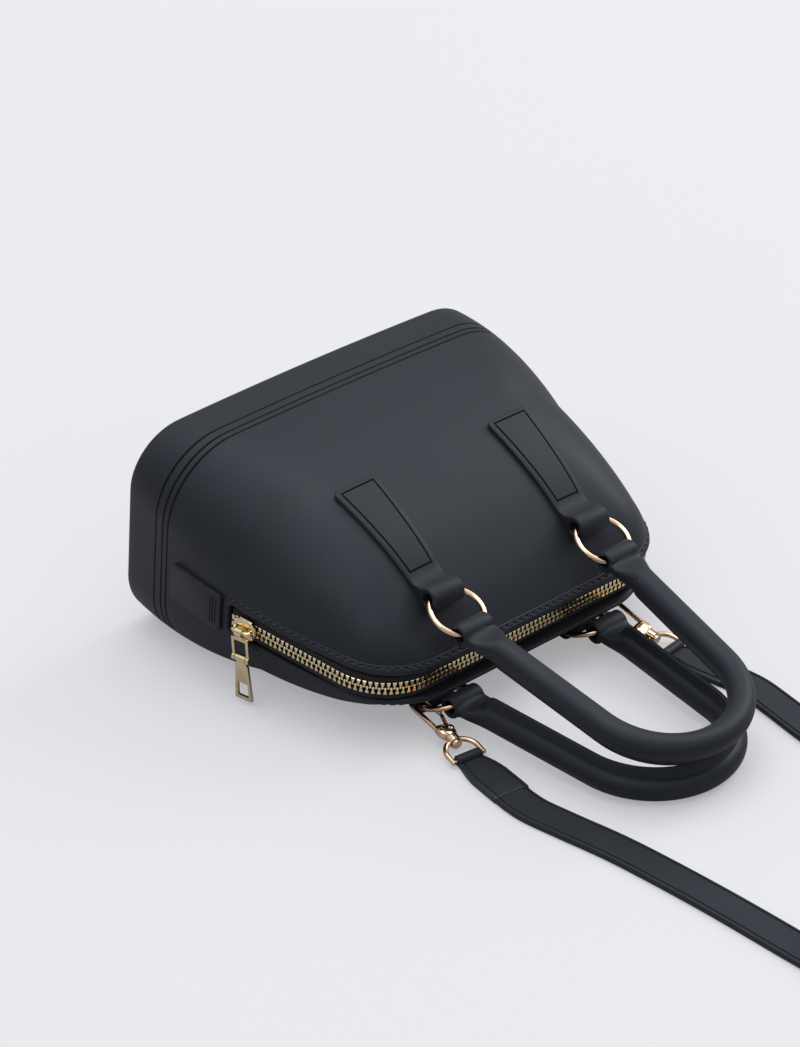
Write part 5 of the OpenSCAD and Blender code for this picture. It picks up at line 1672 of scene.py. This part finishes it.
@dataclass
class Strap:
    """The free shoulder strap, a flat folded band with stitched edges."""

    bench: Workbench
    looks: Finishes
    width: float = 17.5
    thick: float = 2.6
    length: float = 1.0

    def route(self) -> list[tuple[Vector, float]]:
        """Returns the band's middle line and its roll, in millimetres and degrees."""
        end = Vector((67.50, 187.66))
        near = [(-68.3, -194.5, 0.0), (-68.3, -204.0, 0.0), (-65.6, -222.0, 0.0), (-61.0, -252.0, 0.0), (-57.5, -300.0, 0.0), (-56.0, -350.0, 0.0), (-56.0, -400.0, 10.0), (-56.0, -440.0, 30.0), (-56.0, -480.0, 60.0), (-56.0, -520.0, 85.0)]
        far = [(-x, y, a) for x, y, a in reversed(near)]
        turn = [(56 * math.cos(math.radians(180 + 18 * k)), 56 * math.sin(math.radians(180 + 18 * k)) - 560, 90.0) for k in range(11)]
        start = Vector((end.x - 0.42, end.y - 2.97))
        first, last = (-start.x, -start.y, 0.0), (start.x, -start.y, 0.0)
        knots = [first, (-end.x, -end.y, 0.0), *near, *turn, *far, (end.x, -end.y, 0.0), last]
        return [(Vector((x, y, 0)), a) for x, y, a in smooth_knots(knots, 6)]

    def build(self) -> None:
        route = self.route()
        first, last = self.folds()
        w, t = self.width / 2, self.thick / 2
        section = [(-w, -0.5), (-w + 0.5, -t), (0.0, -t), (w - 0.5, -t), (w, -0.5), (w, 0.5), (w - 0.6, t), (w - 1.5, t + 0.08), (w - 1.75, t - 0.4), (w - 2.35, t - 0.4), (w - 2.6, t + 0.06), (0.0, t + 0.1)]
        section += [(-x, y) for x, y in ((w - 2.6, t + 0.06), (w - 2.35, t - 0.4), (w - 1.75, t - 0.4), (w - 1.5, t + 0.08), (w - 0.6, t))]
        section += [(-w, 0.5)]
        rings, path, lengths = [], [], []
        total = 0.0
        for k, (spot, roll) in enumerate(route):
            a, b = route[max(0, k - 1)][0], route[min(len(route) - 1, k + 1)][0]
            run = (b - a).normalized()
            side = Vector((run.y, -run.x, 0))
            g = math.radians(roll)
            mid = w * math.sin(g) + t * math.cos(g) + 0.15
            ring = []
            for p, q in section:
                ring.append((spot + side * (p * math.cos(g) - q * math.sin(g)) + Vector((0, 0, mid + p * math.sin(g) + q * math.cos(g)))) * MM)
            rings.append(ring)
            path.append((spot + Vector((0, 0, mid))) * MM)
            if k:
                total += (path[-1] - path[-2]).length
            lengths.append(total)
        mesh = bmesh.new()
        follow(mesh, rings)
        item = self.bench.piece("strap_band", mesh, self.looks.strap, "bag", "moulded_rubber", ["shoulder_strap"], smooth=45)

    def folds(self) -> list[bpy.types.Object]:
        """Builds both sewn strap ends, each folded round its ring's bar."""
        made = []
        for side in Side:
            yaw = math.radians(8.0)
            bar = Vector((62.909, -154.985, 2.859))
            turn = Matrix.Rotation(yaw, 4, "Z")
            mirror = Matrix.Diagonal((side.value, 1, 1, 1))
            at = mirror @ Matrix.Translation(bar * MM) @ turn
            mesh = bmesh.new()
            rings = []
            low = 0.15 - bar.z
            body = [(-1.5, 6.4, 0.0), (-2.6, 6.5, 0.2), (-5.0, 7.0, 0.5), (-9.0, 7.9, 0.62), (-13.0, 8.55, 0.62), (-16.0, 8.85, 0.62)]
            body += [(-24.0, 8.9, 0.62), (-31.5, 8.9, 0.62), (-32.8, 8.85, 0.5), (-33.2, 8.8, 0.2)]
            for y, half, more in body:
                top = 2.75 - bar.z + more
                ring = []
                for x, z in ((-half, low + 0.4), (-half + 0.5, low), (half - 0.5, low), (half, low + 0.4), (half, top - 0.4), (half - 0.6, top + 0.02), (half - 1.5, top + 0.05), (half - 1.75, top - 0.4), (half - 2.35, top - 0.4), (half - 2.6, top + 0.05), (0, top + 0.1), (-half + 2.6, top + 0.05), (-half + 2.35, top - 0.4), (-half + 1.75, top - 0.4), (-half + 1.5, top + 0.05), (-half + 0.6, top + 0.02), (-half, top - 0.4)):
                    ring.append(at @ (Vector((x, y, z)) * MM))
                rings.append(ring)
            follow(mesh, rings)
            profile = [(-6.2, 1.4), (-6.2, 2.3), (-5.9, 2.62), (0.0, 2.68), (5.9, 2.62), (6.2, 2.3), (6.2, 1.4)]
            rings = []
            for k in range(32):
                g = 2 * math.pi * k / 32
                rings.append([at @ (Vector((x, r * math.cos(g), r * math.sin(g))) * MM) for x, r in profile])
            follow(mesh, rings, closed=True)
            name = f"strap_end_{side.name.lower()}"
            item = self.bench.piece(name + "_fold", mesh, self.looks.strap, "bag", "moulded_rubber", [name], smooth=45)
            made.append(item)
        return made


def smooth_knots(knots: Sequence[tuple[float, float, float]], parts: int) -> list[tuple[float, float, float]]:
    """Returns a smooth row of points through knots.

    Args:
        knots: The points to pass through, each with a value carried along.
        parts: Number of pieces between two knots.

    Returns:
        The points of a Catmull-Rom line.
    """
    points = []
    last = len(knots) - 1
    for k in range(last):
        p0, p1, p2, p3 = (knots[max(0, min(last, k + j))] for j in (-1, 0, 1, 2))
        for i in range(parts):
            t = i / parts
            points.append(
                tuple(
                    0.5 * (2 * b + (c - a) * t + (2 * a - 5 * b + 4 * c - d) * t * t + (3 * b - a - 3 * c + d) * t**3)
                    for a, b, c, d in zip(p0, p1, p2, p3)
                )
            )
    points.append(tuple(knots[last]))
    return points


@dataclass
class Hook:
    """One snap hook: rounded housing, rod nose, rivet and gate."""

    bench: Workbench
    looks: Finishes
    side: Side
    rod: float = 1.15
    nose_x: float = -0.164
    nose_y: float = 22.5
    nose_r: float = 5.3

    @property
    def place(self) -> Matrix:
        """Frame of the hook in metres: Y to the nose, X to the gate."""
        mirror = Matrix.Diagonal((-1, 1, 1, 1))
        turn = Matrix.Rotation(math.radians(8.0), 4, "Z") @ Matrix.Rotation(math.radians(11.5), 4, "X")
        at = Matrix.Translation((61.0 * MM, -141.403 * MM, 5.651 * MM)) @ turn @ mirror @ Matrix.Rotation(math.radians(15.3), 4, "Y")
        return at if self.side is Side.RIGHT else mirror @ at

    def rod_along(self, mesh: bmesh.types.BMesh, line: Sequence[tuple[float, float]], radii: Sequence[float]) -> None:
        """Adds a round rod along a line in the hook's own plane, in millimetres."""
        at = self.place
        rings = []
        for k, ((x, y), r) in enumerate(zip(line, radii)):
            (x0, y0), (x1, y1) = line[max(0, k - 1)], line[min(len(line) - 1, k + 1)]
            run = Vector((x1 - x0, y1 - y0, 0)).normalized()
            side = Vector((run.y, -run.x, 0))
            spots = (2 * math.pi * i / 16 for i in range(16))
            rings.append([at @ ((Vector((x, y, 0)) + side * (r * math.cos(g)) + Vector((0, 0, r * math.sin(g)))) * MM) for g in spots])
        follow(mesh, rings)

    def body(self) -> None:
        """Builds the housing with its rivet heads and the rod with its nose."""
        mesh = bmesh.new()
        at = self.place
        rings = []
        for y, wide, deep in ((-0.05, 2.3, 1.7), (0.35, 3.1, 2.0), (1.4, 4.1, 2.2), (3.0, 4.6, 2.25), (5.2, 4.6, 2.25), (6.5, 4.4, 2.1), (7.2, 3.9, 1.8), (7.5, 3.2, 1.3)):
            ring = []
            for i in range(32):
                g = 2 * math.pi * i / 32
                c, d = math.cos(g), math.sin(g)
                x = math.copysign(abs(c) ** 0.62, c) * wide
                z = math.copysign(abs(d) ** 0.62, d) * deep
                ring.append(at @ (Vector((x, y, z)) * MM))
            rings.append(ring)
        follow(mesh, rings)
        for face in (-1, 1):
            spots = ((1.55, 2.0), (1.55, 2.42), (1.2, 2.62), (0.6, 2.7))
            ring_row = []
            for r, z in spots:
                ring_row.append([at @ (Vector((2.3 + r * math.cos(g), 4.4 + r * math.sin(g), face * z)) * MM) for g in (2 * math.pi * i / 20 for i in range(20))])
            follow(mesh, ring_row)
        line = [(-3.4, 3.5), (-3.5, 6.0), (-3.85, 9.0), (-4.5, 14.0), (-5.15, 19.0), (self.nose_x - self.nose_r, self.nose_y)]
        for k in range(1, 20):
            g = math.pi * (1 - k / 20)
            line.append((self.nose_x + self.nose_r * math.cos(g), self.nose_y + self.nose_r * math.sin(g)))
        line += [(self.nose_x + self.nose_r, y) for y in (22.5, 19.0, 16.4, 15.9, 15.7)]
        radii = [self.rod] * (len(line) - 2) + [self.rod * 0.85, self.rod * 0.5]
        self.rod_along(mesh, line, radii)
        name = self.side.name.lower()
        self.bench.piece(f"hook_frame_{name}", mesh, self.looks.rose, "bag", "rose_gold", [f"hook_body_{name}"], smooth=45)

    def gate(self) -> None:
        """Builds the round gate with its eye."""
        mesh = bmesh.new()
        at = self.place
        eye = []
        for r, z in ((1.5, -0.85), (1.85, -0.6), (1.85, 0.6), (1.5, 0.85)):
            eye.append([at @ (Vector((2.3 + r * math.cos(g), 5.05 + r * math.sin(g), z)) * MM) for g in (2 * math.pi * i / 20 for i in range(20))])
        follow(mesh, eye)
        line = [(2.6, 6.1), (3.2, 8.2), (4.2, 11.7), (5.0, 14.5), (5.12, 15.0), (5.16, 15.25)]
        self.rod_along(mesh, line, (0.85, 0.85, 0.85, 0.85, 0.7, 0.35))
        name = self.side.name.lower()
        self.bench.piece(f"hook_latch_{name}", mesh, self.looks.rose, f"gate_{name}", "rose_gold", [f"hook_gate_{name}"], smooth=45)

    def build(self) -> None:
        """Builds the hook's body and gate."""
        self.body()
        self.gate()


@dataclass
class Hardware:
    """Finishes for the metal pieces whose solids are shown as they are."""

    frame: dict
    looks: Finishes

    def dress(self) -> None:
        """Gives each shown solid its finish."""
        for name, item in self.frame["nodes"].items():
            if name.startswith(("ring_", "hook_", "strap_ring")):
                finish = self.looks.rose
            elif name.startswith(("zip_stop", "puller_pin")):
                finish = self.looks.pale
            elif "core" in name:
                finish = self.looks.filler
            else:
                continue
            item.data.materials.clear()
            item.data.materials.append(finish)


def main() -> None:
    """Builds the studio and every sub-assembly of the bag."""
    logging.basicConfig(level=logging.INFO, format="%(message)s")
    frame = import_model()
    Studio().build()
    looks = Finishes()
    bench = Workbench()
    bag = LyingBag()
    path = ZipPath(bag)
    Strap(bench, looks).build()
    MouldedBody(bag, path, bench, looks).build()
    MouthLips(bag, path, bench, looks).build()
    HandleTabs(bag, bench, looks).build()
    Handle(bench, looks, "handle_front", (-138.008, 53.058), 13.4, False).build()
    Handle(bench, looks, "handle_back", (-131.215, 12.410), 3.0, True).build()
    Zip(bag, path, bench, looks).build()
    for side in Side:
        Hook(bench, looks, side).build()
    Hardware(frame, looks).dress()


if __name__ == "__main__":
    main()
